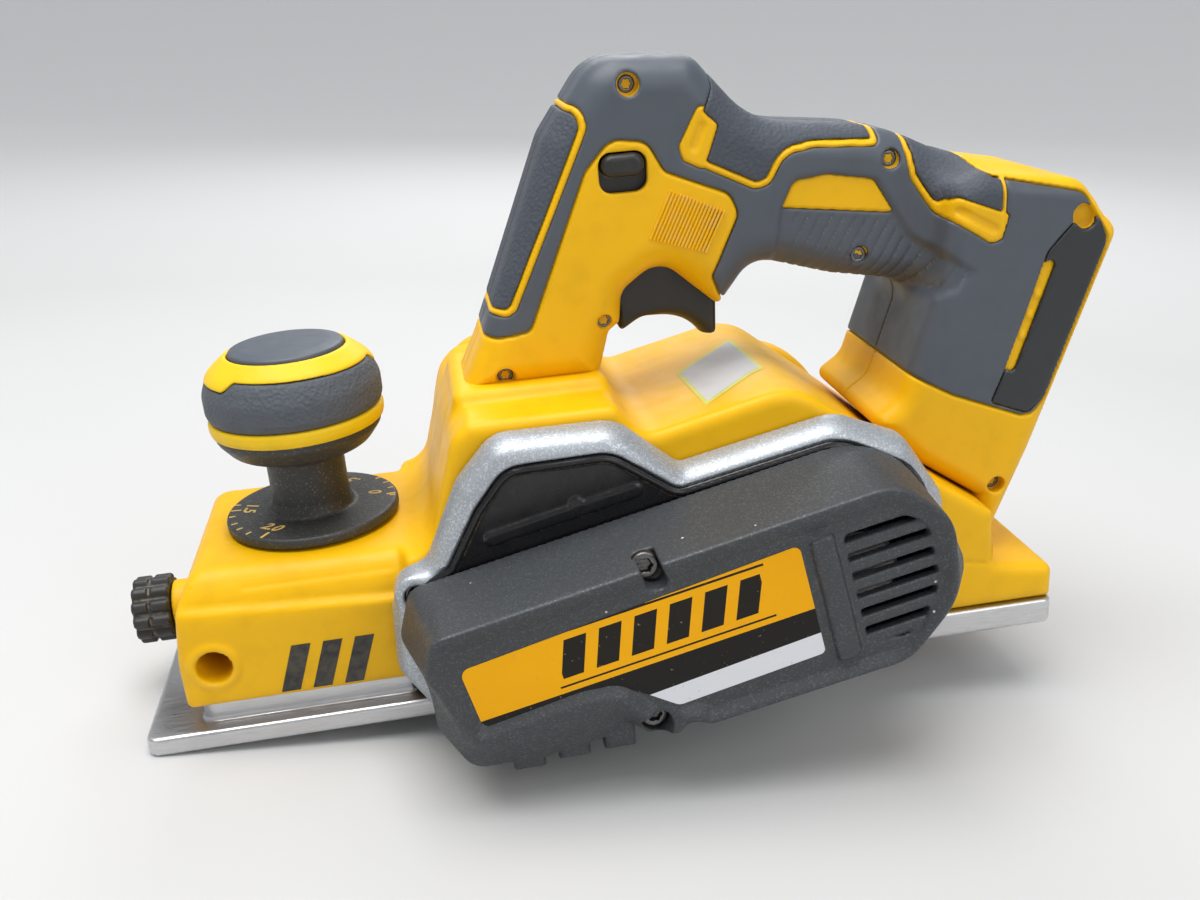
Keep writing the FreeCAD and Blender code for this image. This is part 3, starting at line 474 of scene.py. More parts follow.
def stippled(name, colour, pitch=950, relief=0.8):
    """Soft rubber with a pebbled grain."""
    p = moulded(name, colour, 0.62, "grey_rubber", grain=1700, relief=0.2, dust=0.6, wear=0.12, gloss=0.42)
    pebbles = p.add("ShaderNodeTexVoronoi", {"feature": "SMOOTH_F1"}, Vector=p.where, Scale=pitch)
    p.bump(pebbles.outputs["Distance"], relief, 0.35)
    return p


def flecked(name, slot, colour, rough, fleck, share, size=2600, metallic=0.0, relief=0.4):
    """Paint or plastic with bright flecks in it and a few pale splashes on it."""
    p = Paint(name, slot, Metallic=metallic, Specular_IOR_Level=0.5)
    random = p.add("ShaderNodeSeparateColor", Color=p.cells(size, "Color")).outputs[0]
    base = p.mix(p.noise(26.0), tone(colour, 0.88), tone(colour, 1.1))
    base = p.mix(p.ramp(random, 0.0, share, 0.0, 0.35), base, tone(colour, 0.72))
    base = p.mix(p.ramp(random, share, 1.0, 0.0, 0.9), base, tone(fleck, 1))
    base = p.dirt(base, 380.0, 0.4, 0.7, 0.4)
    splash = p.ramp(p.cells(72.0), 0.022, 0.03, 0.85, 0.0)
    p.colour(p.mix(splash, base, (0.6, 0.6, 0.56, 1.0)))
    p.rough(p.ramp(random, 0.0, 1.0, rough + 0.1, rough - 0.12))
    p.bump(p.cells(size), relief, 0.12)
    p.bump(p.noise(240.0, 4.0), 0.15, 0.2)
    return p


def machined(name, colour, rough, stretch=(1.0, 14.0, 14.0), pitch=160, slot=None):
    """Bare metal with tool marks along one axis, fine scratches and a dull patina."""
    p = Paint(name, slot, Metallic=1.0)
    marks = p.noise(pitch, 5.0, stretch)
    base = p.mix(p.noise(34.0, 4.0), tone(colour, 0.86), tone(colour, 1.08))
    base = p.mix(p.ramp(marks, 0.45, 0.8, 0.0, 0.35), base, tone(colour, 0.66))
    bright = p.mix(p.edges(0.515, 0.56), base, tone(colour, 1.35))
    p.colour(p.dirt(bright, 300.0, 0.35, 0.6, 0.5, (0.12, 0.11, 0.1, 1.0)))
    p.rough(p.ramp(marks, 0.3, 0.75, rough - 0.08, rough + 0.12))
    p.bump(marks, 0.12, 0.05)
    return p


yellow = moulded("satin_yellow_nylon", (0.86, 0.47, 0.001), 0.42, "yellow_plastic", grain=1500, relief=0.1,
                 dust=0.25, wear=0.3, gloss=0.28)
stripe_yellow = moulded("yellow_trim", (0.86, 0.55, 0.008), 0.45, "yellow_plastic", grain=1500, relief=0.12,
                        dust=0.2, wear=0.2, gloss=0.3)
gold_ink = moulded("gold_ink", (0.78, 0.52, 0.12), 0.5, "yellow_plastic", dust=0.2, wear=0.0)
smooth_grey = moulded("smooth_grey_rubber", (0.075, 0.088, 0.108), 0.46, "grey_rubber", grain=1900,
                      relief=0.16, dust=0.6, wear=0.35)
pebbled = stippled("pebbled_grey_rubber", (0.062, 0.072, 0.09))
knob_rubber = stippled("pebbled_knob_rubber", (0.085, 0.096, 0.112), pitch=1050, relief=0.95)
panel_black = moulded("satin_black_panel", (0.022, 0.024, 0.026), 0.4, "grey_rubber", grain=1600,
                      relief=0.12, dust=0.5, wear=0.3)
black = moulded("black_nylon", (0.026, 0.026, 0.025), 0.48, "black_plastic", grain=1300, dust=0.9, wear=0.4)
gloss = moulded("polished_black", (0.008, 0.008, 0.009), 0.24, "gloss_black", grain=700, relief=0.04,
                dust=0.7, wear=0.2)
trigger_black = moulded("trigger_black", (0.018, 0.018, 0.016), 0.4, "trigger_plastic", grain=1500,
                        relief=0.15, dust=0.8, wear=0.5)
dial_black = flecked("dial_black", "dial_plastic", (0.036, 0.037, 0.035), 0.5, (0.12, 0.115, 0.1), 0.9,
                     size=2400)
cover_black = flecked("cover_black", "black_plastic", (0.041, 0.045, 0.049), 0.5, (0.08, 0.09, 0.1), 0.75)
silver = flecked("hammered_silver", "silver_paint", (0.40, 0.43, 0.46), 0.42, (0.6, 0.64, 0.68), 0.55,
                 metallic=0.45, relief=0.3)
shoe_metal = machined("planed_aluminium", (0.60, 0.60, 0.61), 0.34, slot="shoe_aluminium")
turned_metal = machined("turned_aluminium", (0.55, 0.56, 0.58), 0.3, (14.0, 14.0, 14.0))
steel = machined("ground_steel", (0.5, 0.5, 0.5), 0.28)
dark_steel = machined("black_zinc_steel", (0.16, 0.155, 0.15), 0.36, slot="screw_steel")
spring_wire = machined("spring_wire", (0.45, 0.45, 0.46), 0.3, (9.0, 9.0, 9.0), slot="spring_steel")
core_steel = machined("laminated_steel", (0.3, 0.3, 0.31), 0.45, (1.0, 40.0, 1.0))
copper = machined("enamelled_copper", (0.72, 0.3, 0.13), 0.3, (1.0, 1.0, 1.0), pitch=900)
board = moulded("potted_board", (0.02, 0.13, 0.06), 0.35)
belt_rubber = moulded("belt_rubber", (0.025, 0.025, 0.026), 0.6, dust=0.5)
lime = moulded("lime_film", (0.66, 0.64, 0.12), 0.5, "label_film", dust=0.0, wear=0.0, gloss=0.3)
pale = moulded("pale_film", (0.6, 0.6, 0.6), 0.6, "label_film", dust=0.0, wear=0.0, gloss=0.2)
printed_black = moulded("printed_black", (0.015, 0.014, 0.013), 0.4, "label_film", dust=0.1)


def band_paint():
    """The cover's film: yellow, black and white bands, two fine lines and slanted blocks between them."""
    p = Paint("printed_film", "label_film", Roughness=0.4, Specular_IOR_Level=0.15)
    split = p.add("ShaderNodeSeparateXYZ", Vector=p.where)
    x, z = split.outputs["X"], split.outputs["Z"]

    def beyond(start, end):
        """Height in millimetres above a line through two (x, z) points."""
        (x1, z1), (x2, z2) = start, end
        length = math.hypot(x2 - x1, z2 - z1)
        a, b = -(z2 - z1) / length, (x2 - x1) / length
        over = p.sum("ADD", p.times(x, a / MM), p.times(z, b / MM))
        return p.sum("SUBTRACT", over, a * x1 + b * z1)

    def between(value, low, high):
        return p.times(p.sum("GREATER_THAN", value, low), p.sum("LESS_THAN", value, high))

    rise = beyond((-88.7, 24.4), (-14, 40.1))
    white = p.sum("LESS_THAN", beyond((-59.7, 21.4), (-12.4, 32.6)), 0.0)
    along = beyond((-86, 30), (-91.5, 56))
    fine = p.sum("ADD", between(rise, 1.6, 2.2), between(rise, 17.2, 17.9))
    fine = p.times(fine, between(along, -62.0, -2.5))
    slant = p.sum("FRACT", p.times(p.sum("ADD", along, p.times(rise, 0.35)), 1 / 9.6))
    blocks = p.times(between(rise, 4.2, 15.2), between(slant, 0.16, 0.8))
    blocks = p.times(blocks, between(along, -60.5, -4.0))
    ink = p.sum("MINIMUM", p.sum("ADD", fine, blocks), 1.0)
    film = p.mix(p.noise(40.0), (0.87, 0.385, 0.001, 1.0), (0.94, 0.45, 0.003, 1.0))
    film = p.mix(ink, film, (0.018, 0.015, 0.012, 1.0))
    film = p.mix(p.sum("LESS_THAN", rise, 0.0), film, (0.016, 0.014, 0.013, 1.0))
    film = p.mix(white, film, (0.72, 0.73, 0.76, 1.0))
    specks = p.ramp(p.noise(900.0, 2.0), 0.71, 0.76, 0.0, 0.6)
    p.colour(p.mix(specks, film, DUST))
    p.rough(p.ramp(p.noise(120.0, 5.0), 0.3, 0.7, 0.34, 0.46))
    p.bump(p.noise(1200.0), 0.06, 0.05)
    return p


# ---- main housing
def make_housing():
    s = Space((NOSE + 4, -SIDE - 1.5, 5), (TAIL + 2, SIDE + 14, 102), COARSE)
    across = np.abs(s.y)
    body = slab(flat(s.x, s.z, BODY), s.y, -SIDE, SIDE, 4)
    narrow = step(-s.x, 118, 124)
    waist = SIDE - 2 * narrow - 2.2 * narrow * step(s.z + 0.06 * (s.x + 155), 40.2, 41.6)
    body = keep(body, across - waist, 3)
    shoulder = (across * 0.78 + s.z * 0.63) - (0.78 * 36.8 + 0.63 * (DECK_Z - 7.5))
    body = keep(body, shoulder - 60 * step(s.x, -122, -112), 3)
    body = join(body, disc(s, "y", PORT, -14, SIDE + 0.2, PORT_R, 7), 5)
    body = join(body, disc(s, "y", CUTTER, SIDE - 4, SIDE + 11, 17, 3), 2)
    body = join(body, disc(s, "y", CUTTER, SIDE - 4, SIDE + 2.5, 27.5, 1.2), 1)
    foot = flat(s.x, s.z, [(-102, 80, 0), (-101, 91.5, 3), (-56.5, 91.5, 3), (-54, 80, 0)])
    body = join(body, slab(foot, s.y, -22, 22, 3), 3)
    body = join(body, disc(s, "x", (0, CLAMP_Z), -193.2, -180, 8, 0.6), 1.5)
    ring = np.hypot(s.x - ROD_X, s.z - ROD_Z)
    body = join(body, slab(ring - 7.6, across, 30, SIDE - 1.2, 1.2), 0.6)
    seam = to_line(s.x, s.z, [(35, 54), (55.5, 40), (56, 23), (45, 25)])
    body = carve(body, keep(seam - 0.35, -body - 0.7), 0.4)
    body = carve(body, ring - ROD_R, 0.5)
    body = cut(body, 0.4, brick(s, (-300, SIDE, -9), (-60, SIDE + 30, 9.5)),
               disc(s, "y", CUTTER, -SIDE - 9, SIDE, 26))
    body = cut(body, 0, disc(s, "y", CUTTER, SIDE - 5, SIDE + 9, 13.2),
               disc(s, "y", MOTOR, -SIDE - 9, SIDE + 9, 27.5),
               brick(s, (-184.5, -36, 0), (-121.5, 36, 18.5)), brick(s, (-166, -34, 12), (-124, 34, 46)),
               disc(s, "z", (KNOB_X, 0), 30, 70, 5.2))
    dial_seat = np.hypot(s.x - KNOB_X, s.y) - KNOB_R - 0.6
    body = carve(body, slab(dial_seat, s.z, DECK_Z - 0.5, 90, 0.3), 0.4)
    body = cut(body, 0, brick(s, (-101, -12, 40), (-84, 12, 72)),
               disc(s, "y", PORT, -4, SIDE + 9, BORE_R - 0.4), disc(s, "x", (0, CLAMP_Z), -200, ROD_X, 3.2))
    body = carve(body, brick(s, (36, -9, 0), (TAIL + 9, 9, 17), 1), 0.5)
    body = carve(body, keep(s.z - 8.05, -s.x - 88))
    skin("housing_shell", s, body, yellow, "main_housing")


# ---- belt side
def make_belt_frame():
    face = PLATE_FACE
    s = Space((-129, face - 1.5, 1), (40, -SIDE + 1.5, 90), FINE)
    outline, depth = flat(s.x, s.z, FRAME), -SIDE - s.y
    body = keep(outline, depth - 11, 1.2)
    body = keep(body, outline * 0.86 + (depth - 5.2) * 0.51, 1.6)
    body = keep(body, outline * 0.42 + (depth - 8.4) * 0.91, 1.2)
    body = keep(body, -depth + 0.15)
    body = carve(body, slab(flat(s.x, s.z, PLATE) - 0.4, s.y, face - 9, face + 2, 0.2), 0.5)
    ear_x, ear_z = FRAME_SCREWS[0]
    ear = np.hypot(s.x - ear_x, s.z - ear_z)
    body = join(body, slab(ear - 6.2, s.y, face + 1.5, -SIDE, 2), 3)
    body = carve(body, slab(ear - 3.4, s.y, face - 9, face + 6, 0.4), 0.6)
    bores = [(place, -46, 3.7) for place in FRAME_SCREWS[1:]]
    bores += [(CUTTER, -42, 13.2), (CUTTER, -30, 9), (MOTOR, -43, 11.2), (MOTOR, -30, 6)]
    body = cut(body, 0, *(disc(s, "y", place, face - 9, end, radius) for place, end, radius in bores))
    skin("belt_frame", s, body, silver, "belt_housing")


def make_back_plate():
    face = PLATE_FACE
    s = Space((-124, face - 1.2, 4), (35, face + 3, 83), FINE)
    plate = flat(s.x, s.z, PLATE)
    rim = np.abs(plate + 1.5) - 0.7
    ridge = to_line(s.x, s.z, [(-95.5, 58.7), (-55, 67.5)]) - 1.9
    stud = np.hypot(s.x + 71.5, s.z - 65.6) - 2.1
    body = slab(plate, s.y, face + 0.9, face + 2, 0.3)
    for field, top, edge, soft in ((rim, 0.25, 0.4, 0.3), (ridge, 0.35, 0.5, 0.4), (stud, 0.5, 0.5, 0.4)):
        body = join(body, slab(field, s.y, face + top, face + 2, edge), soft)
    body = cut(body, 0, disc(s, "y", CUTTER, face - 9, face + 9, 9),
               disc(s, "y", MOTOR, face - 9, face + 9, 8))
    skin("back_plate", s, body, gloss, "belt_back_plate")


def make_cover():
    """The belt cover: walls that lean in to a dished face, with louvres, a pocket, lugs and a hollow."""
    face = PLATE_FACE
    height = face - COVER_FACE
    s = Space((-126, COVER_FACE - 1.5, 0), (39, face + 1.2, 82), FINE)
    outline, crest, depth = flat(s.x, s.z, COVER), flat(s.x, s.z, CREST), face - s.y
    # the upper walls lean in all the way, the lower ones only over the last few millimetres
    upper = step(s.z - 25 - (s.x + 108) * 0.19, -8, 10)
    share = np.clip(depth / height, 0, 1) * upper + np.clip((depth - 24.2) / 6.8, 0, 1) * (1 - upper)
    walls = outline * (1 - share) + crest * share
    body = keep(keep(walls * 0.96, depth - height, 1.8), -depth)
    sunk = np.minimum((-crest - 0.6) * (0.9 - 0.42 * upper), 2.7)
    dish = depth - height + np.maximum(sunk, -2)
    body = keep(body, dish * 0.84, 0.7)
    body = join(body, slab(flat(s.x, s.z, BAR), depth, 20, height - 0.9, 1.2), 1)
    slope, pitch = math.radians(11.5), 5.75
    rise = (s.z - 34.5) * math.cos(slope) - (s.x - 6) * math.sin(slope)
    slats = slab(np.abs((rise + pitch / 2) % pitch - pitch / 2) - 1.7, depth, 0, height - 2.6, 1.2)
    body = carve(body, keep(slab(flat(s.x, s.z, VENTS), depth, 23.4, 60, 0.5), -slats, 0.5), 0.8)
    pocket = flat(s.x, s.z, POCKET)
    body = carve(body, slab(pocket, depth, 20.5, 60, 0.6), 0.8)
    for x, z, top in ((7.3, 77.2, 14.5), (-58, 12, 21)):
        body = carve(body, slab(np.hypot(s.x - x, s.z - z) - 4.0, depth, top, 60, 0.6), 0.7)
    body = carve(body, slab(np.hypot(s.x + 92, s.z - 49) - 1.6, depth, 2, 9, 0.5), 0.8)
    body = join(body, slab(to_line(s.x, s.z, [(-74, 47.5), (-70.5, 53)]) - 3, depth, 0, 12.2, 2.5), 2)
    for x, z in ((-92.8, 0.4), (-80.4, 1.8), (-67.8, 2.6)):
        lug = np.maximum(np.abs(s.x - x) - 4.4, np.abs(s.z - z - 6) - 6)
        body = join(body, slab(lug, depth, 12, 24, 2.2), 1.5)
    hollow = keep(keep(outline + 2.6, walls + 2.4), depth - (height - 6.2))
    hollow = cut(hollow, 0, *(np.hypot(s.x - x, s.z - z) - 5 for x, z in COVER_SCREWS), pocket - 1.5)
    body = carve(body, keep(hollow, -depth - 2))
    skin("cover_shell", s, body, cover_black, "belt_cover")
    film_y = COVER_FACE + 2.55
    prisms("cover_film", [rounded(LABEL)[::-1]], "y", film_y, film_y + 0.8, band_paint(), "cover_label")


# ---- handle
def handle_fields(s):
    """The handle's outer form, and the outline fields of its grey skin, trims, soft pads and inlay."""
    x, z, y = s.x, s.z, np.abs(s.y)
    side = HANDLE_SIDE - 1.3 * step(x, -28, -8)
    grip = slab(flat(x, z, GRIP), y, -side, side, 9.5)
    post = slab(flat(x, z, POST), y, -POST_SIDE, POST_SIDE, 6)
    form = keep(join(grip, post, 9), y - POST_SIDE)
    form = form + 1.1 * step(-flat(x, z, HOLLOW), 0, 2.6) * step(y, 6, 14)
    lean = (x * 0.87 - z * 0.5) / 3.3
    groove = np.maximum(0, np.cos(lean * 2 * math.pi) - 0.72) / 0.28
    form = form + 0.5 * groove * step(-flat(x, z, RIBBED), 0, 1.2) * step(y, 2, 6)
    front, thumb, rear = (flat(x, z, c) for c in (FRONT_PAD, THUMB_PAD, REAR_PAD))
    front_line, thumb_line, rear_line = (np.abs(pad + LINE) - LINE for pad in (front, thumb, rear))
    plain_top = (x > -21.5) & (x < 0) & (z > 163.8) | (x < -18) & (x > -30) & (z > 164)
    lines = np.minimum(front_line, np.where(plain_top, FAR, thumb_line))
    lines = np.minimum(lines, np.where(x > 59.6, FAR, rear_line))
    badges = np.minimum(flat(x, z, THUMB_BADGE), flat(x, z, REAR_BADGE))
    trims = np.minimum(np.minimum(lines, badges), flat(x, z, TRAPEZOID))
    inlay = to_line(x, z, [(74, 111.3), (63.8, 82.2)]) - 1.5
    pads = np.minimum(np.minimum(front, thumb), rear) + 1.9
    return form, flat(x, z, GREY), trims, pads, inlay


def make_handle():
    """Two mirrored halves, each a yellow core under grey rubber, pebbled pads and a black panel."""
    s = Space((-103, -POST_SIDE - 1.5, 20), (99, 1, 180.5), MIDDLE)
    form, grey, trims, pads, inlay = handle_fields(s)
    x, y, z = s.x, s.y, s.z
    panel = flat(x, z, PANEL)

    def channel(near, far, half, edge):
        """A slot along the battery post's rear face, between two depths in from it."""
        ends = ((62, near), (62, far), (-40, far), (-40, near))
        corners = [tuple(RAIL_TOP + RAIL * along + INWARD * depth) + (0,) for along, depth in ends]
        return slab(flat(x, z, corners), y, -half, half, edge)

    slot_in, slot_out = np.abs(x - LOCK[0]), np.abs(z - LOCK[1] + 2)
    openings = [
        channel(-9, 12, 24, 1), channel(5, 9, 27, 0.4),
        np.hypot(np.maximum(slot_in - 3.2, 0), np.maximum(slot_out - 2, 0)) - 3.6,
        slab(np.maximum(slot_in - 9, slot_out - 11.6), y, -15, -12, 0.3),
        brick(s, (-50.5, -8.6, 84), (-15, 8.6, 128.5), 1), brick(s, (-60, -8.6, 104), (-50, 8.6, 128.5), 1),
        slab(to_line(x, z, [(83.4, 125.2), (84.6, 124)]) - 3.1, y, -40, -POST_SIDE + 3.7, 0.5),
        slab(np.hypot(x - PIN[0], z - PIN[1]) - 2.1, y, -11, 9),
        brick(s, (49, -23, 79), (62, 23, 119), 1),
    ]
    bulges = {"left": disc(s, "y", PORT, -14.3, 60, PORT_R + 0.3, 7),
              "right": np.hypot(x - PORT[0], z - PORT[1]) - PORT_R - 0.3}
    holes = [slab(np.hypot(x - a, z - b) - r, y, -60, -(HANDLE_SIDE if a < 40 else POST_SIDE) + 4.4, 0.3)
             for a, b, r in HANDLE_SCREWS]
    on_grey = step(-grey, -0.4, 0.2)
    on_trim = step(-trims, -0.35, 0.1) * on_grey
    depth = 0.15 + 1.4 * on_grey * (1 - on_trim) - 0.1 * on_trim
    badge_lines = ((-24.3, 158.3), (-26.6, 153.0)), ((46.8, 129.4), (56.6, 123.8))
    slots = [to_line(x, z, ends) for ends in badge_lines]
    depth = depth + 0.7 * step(-np.minimum(*slots), -1.5, -0.8) * on_trim
    nubs = np.minimum.reduce([np.hypot(x - a, z - b) for a, b in ((71, 103), (68.9, 97), (66.8, 91))])
    depth = np.where(inlay < 0.4, 1.1 - 0.6 * step(-nubs, -1.6, -0.8), depth)
    under = -(form + 1.9)
    rubber = keep(keep(keep(form, grey + 0.25, 0.7), -trims + 0.15, 0.5), -inlay + 0.1, 0.5)
    rubber = keep(keep(keep(rubber, under), -pads + 0.1, 0.5), -panel + 0.1, 0.5)
    pad = keep(keep(keep(keep(form - 0.1, pads, 0.6), -trims + 0.15, 0.4), under), grey + 0.25)
    panel_skin = keep(keep(keep(form - 0.05, panel + 0.15, 0.5), under), -inlay + 0.1, 0.4)
    layers = (
        ("handle_shell", form + depth, yellow, "handle_"), ("grip_rubber", rubber, smooth_grey, "overmould_"),
        ("grip_pads", pad, pebbled, ""), ("battery_panel", panel_skin, panel_black, ""))
    for side, screws in (("left", holes), ("right", [])):
        for name, field, paint, node in layers:
            field = cut(keep(field, y + SEAM, 0.5), 0.5, *openings, *screws)
            if name == "handle_shell":
                field = carve(field, bulges[side])
            item = skin("%s_%s" % (name, side), s, field, paint, *([node + side] if node else ()))
            if side == "right":
                mirror(item.data)


def mirror(mesh):
    """Turn a left piece into a right one."""
    count = len(mesh.loops)
    normals = np.empty(count * 3, np.float32)
    mesh.corner_normals.foreach_get("vector", normals)
    order = np.empty(count, np.int32)
    mesh.loops.foreach_get("vertex_index", order)
    by_vertex = np.zeros((len(mesh.vertices), 3), np.float32)
    by_vertex[order] = normals.reshape(-1, 3) * (1, -1, 1)
    mesh.transform(Matrix.Diagonal((1, -1, 1, 1)))
    mesh.flip_normals()
    mesh.update()
    mesh.normals_split_custom_set_from_vertices(by_vertex)


def make_rib_patch():
    """Fine ribs on the yellow face, in front of the trigger finger."""
    top_left, top_right, low_right, low_left = (
        np.array(c) for c in ((-34.5, 142.2), (-18.4, 134.6), (-24.4, 123.2), (-41.2, 129.0)))
    outlines, count = [], 17
    half = (top_right - top_left) / count * 0.3
    for i in range(count):
        share = (i + 0.5) / count
        top, low = top_left + (top_right - top_left) * share, low_left + (low_right - low_left) * share
        outlines.append([low - half, low + half, top + half, top - half])
    for side, sign in (("left", -1), ("right", 1)):
        turned = outlines if sign > 0 else [o[::-1] for o in outlines]
        near, far = sorted((sign * (HANDLE_SIDE - 1.4), sign * (HANDLE_SIDE + 0.4)))
        item = prisms("rib_patch_" + side, turned, "y", near, far, yellow)
        bevel = item.modifiers.new("round", "BEVEL")
        bevel.width, bevel.segments = 0.16 * MM, 2


# ---- depth knob
def make_knob():
    """The dial with its stem, a lower ring, a rubber bulb, a band with two raised lobes, and the top."""
    s = Space((KNOB_X - 27.5, -27.5, DIAL_LOW[2] - 1.2), (KNOB_X + 27.5, 27.5, 107.5), FINE)
    radius = np.hypot(s.x - KNOB_X, s.y)
    angle = np.arctan2(s.y, s.x - KNOB_X)

    def lathe(profile):
        return flat(radius, s.z, [(-r, z, e) for r, z, e in reversed(profile)] + list(profile))

    dial = lathe([(KNOB_R - 0.1, 51.9, 0.3), (KNOB_R - 0.1, 54.4, 0.6), (KNOB_R - 0.8, DIAL_TOP, 0.4),
                  (12.6, 55.1, 1.5), (11.6, 58.5, 3), (11.6, 72.3, 1.2), (14.5, 73, 2), (20.5, 75.5, 6),
                  (24.4, 80.5, 3), (24.5, 84.5, 0.6), (20, 84.5, 0.5), (19, 104, 1)])
    dial = keep(dial, s.z - 103)
    ring_at = KNOB_R - 0.35
    lower = slab(np.abs(radius - ring_at + 1.6) - 1.6, s.z, 82.9, 86.7, 1.1)
    lower = join(lower, slab(np.abs(radius - ring_at + 1.9) - 1.6, s.z, 82.2, 84.4, 0.7), 0.3)
    form = lathe([(25, 86.8, 1.2), (25.9, 89, 3), (25.9, 94.6, 7), (23.6, 100.2, 8), (18, 104.6, 1.5),
                  (16, 105, 0.5), (14, 88, 0)])
    lobe = np.cos(2 * (angle + 2.72))
    above = 100.9 - 2.9 * step(lobe, 0.5, 0.82) - 0.4 * np.cos(angle) - s.z
    dial = carve(dial, keep(form - 0.3, above + 3))
    bulb = keep(form, -above + 0.2, 0.7)
    bulb = carve(bulb, keep(radius - 15.5, -s.z + 60))
    band = keep(keep(form - 0.3, above, 0.5), -(radius - 17.1), 0.5)
    band = keep(band, radius - 27)
    cap = lathe([(16.7, 100, 0.3), (16.7, 105.8, 0.9), (13, 106.5, 3), (6, 106.9, 3)])
    for name, field, paint, nodes in (
            ("dial_and_stem", dial, dial_black, ["depth_dial"]),
            ("knob_lower_ring", lower, stripe_yellow, []),
            ("knob_bulb", bulb, knob_rubber, ["knob_grip"]),
            ("knob_band", band, stripe_yellow, ["knob_ring"]),
            ("knob_top", cap, smooth_grey, ["knob_cap"])):
        skin(name, s, field, paint, *nodes, body="depth_knob")


def make_dial_marks():
    """Ticks and the depth numbers round the dial."""
    outlines = []
    for degrees, inner, width in ((-123, 21.4, 0.42), (-137, 23.2, 0.3), (-149, 23.2, 0.3), (-160, 23.2, 0.3),
                                  (-174, 23.2, 0.3), (175, 21.9, 0.3), (165, 23.2, 0.3), (0, 22.4, 0.4),
                                  (-3, 23.4, 0.3), (12, 23.2, 0.3), (24, 23.2, 0.3), (36, 23.2, 0.3)):
        turn = math.radians(degrees)
        spoke = np.array((math.cos(turn), math.sin(turn)))
        side = np.array((-spoke[1], spoke[0])) * width
        low, high = spoke * inner, spoke * (KNOB_R - 0.95)
        outlines.append([(p[0] + KNOB_X, p[1]) for p in (low - side, high - side, high + side, low + side)])
    prisms("dial_ticks", outlines, "z", DIAL_TOP - 0.3, DIAL_TOP + 0.1, gold_ink, body="depth_knob")
    for words, degrees, reach in (("2.0", -128, 18.2), ("1.5", 172, 19.2), ("0", 7, 19.2), ("1.0", 110, 19.0),
                                  (".5", 52, 19.0)):
        make_number(words, math.radians(degrees), reach)


def make_number(words, turn, reach):
    curve = bpy.data.curves.new("mark_" + words, "FONT")
    curve.body, curve.size, curve.align_x, curve.align_y = words, 5.4 * MM, "CENTER", "CENTER"
    curve.extrude, curve.shear, curve.offset = 0.06 * MM, 0.25, 0.14 * MM
    holder = bpy.data.objects.new("mark", curve)
    mesh = bpy.data.meshes.new_from_object(holder)
    bpy.data.objects.remove(holder)
    place = (KNOB_X * MM + reach * MM * math.cos(turn), reach * MM * math.sin(turn), (DIAL_TOP + 0.02) * MM)
    mesh.transform(Matrix.Translation(place) @ Matrix.Rotation(turn + math.pi / 2, 4, "Z"))
    mesh.materials.clear()
    settle(mesh, "dial_mark_" + words.replace(".", "_"), gold_ink, body="depth_knob")


# ---- shoes
def make_shoes():
    back = -107
    s = Space((NOSE - 1.5, -SIDE - 1.5, -1), (back, SIDE + 1.5, 36), MIDDLE)
    plan = flat(s.x, s.y, [(NOSE, -SIDE, 3.5), (back, -SIDE, 0), (back, SIDE, 0), (NOSE, SIDE, 3.5)])
    shoe = keep(slab(plan, s.z, 0, 5.5, 0.5), (plan + s.z - 5.5) * 0.707 + 0.5)
    shoe = keep(shoe, s.x - FRONT_HIGH[0])
    boss = flat(s.x, s.y, [(-184, -35.5, 4), (-122, -35.5, 2), (-122, 35.5, 2), (-184, 35.5, 4)])
    shoe = join(shoe, slab(boss, s.z, 1, 16, 0.8), 1.5)
    shoe = join(shoe, disc(s, "z", (KNOB_X, 0), 5, 34, 9), 1)
    shoe = cut(shoe, 0, disc(s, "z", (KNOB_X, 0), 6, 60, 5.1),
               disc(s, "y", (CUTTER[0], CUTTER[1] - 2), -90, 90, 24.4))
    shoe = carve(shoe, np.abs(s.y) + s.z - 2.5, 0.3)
    rings = np.abs((np.hypot(s.x + 172, s.y + 22) % 1.6) - 0.8)
    shoe = shoe + 0.07 * rings * step(-s.z, -8.5, -5.4)
    skin("front_sole", s, shoe, shoe_metal, "front_shoe", body="front_shoe")

    front = -93
    s = Space((front + 1, -SIDE - 1.5, -1), (TAIL + 1.5, SIDE + 1.5, 10), MIDDLE)
    plan = flat(s.x, s.y, [(front, -SIDE, 0), (TAIL, -SIDE, 3), (TAIL, SIDE, 3), (front, SIDE, 0)])
    shoe = keep(slab(plan, s.z, 0, SHOE_HIGH[2], 0.7), SHOE_LOW[0] - s.x)
    shoe = carve(shoe, disc(s, "y", CUTTER, -90, 90, 24.6), 0.4)
    screws = [disc(s, "z", (x, y), -9, 4, 4.9) for x in (-60, 30) for y in (-30, 30)]
    shoe = cut(shoe, 0.5, brick(s, (37, -9, -9), (TAIL + 9, 9, 30), 1), *screws)
    skin("rear_sole", s, shoe, shoe_metal, "rear_shoe")


# ---- controls, clamp, stand and chip side
def make_trigger():
    s = Space((-60, -9.5, 91.5), (-16, 9.5, 125.5), FINE)
    paddle = slab(flat(s.x, s.z, TRIGGER), s.y, -8, 8, 2.2)
    paddle = keep(paddle, -(np.hypot(s.x + 36, s.z - 88) - 14.2 - 0.045 * s.y ** 2), 1.5)
    paddle = carve(paddle, disc(s, "y", PIN, -20, 20, 2.1))
    skin("trigger_paddle", s, paddle, trigger_black, "trigger", body="trigger")
    s = Space((PIN[0] - 3, -12, PIN[1] - 3), (PIN[0] + 3, 12, PIN[1] + 3), TINY)
    skin("trigger_pivot", s, disc(s, "y", PIN, -10.5, 10.5, 2, 0.4), dark_steel, "trigger_pin")


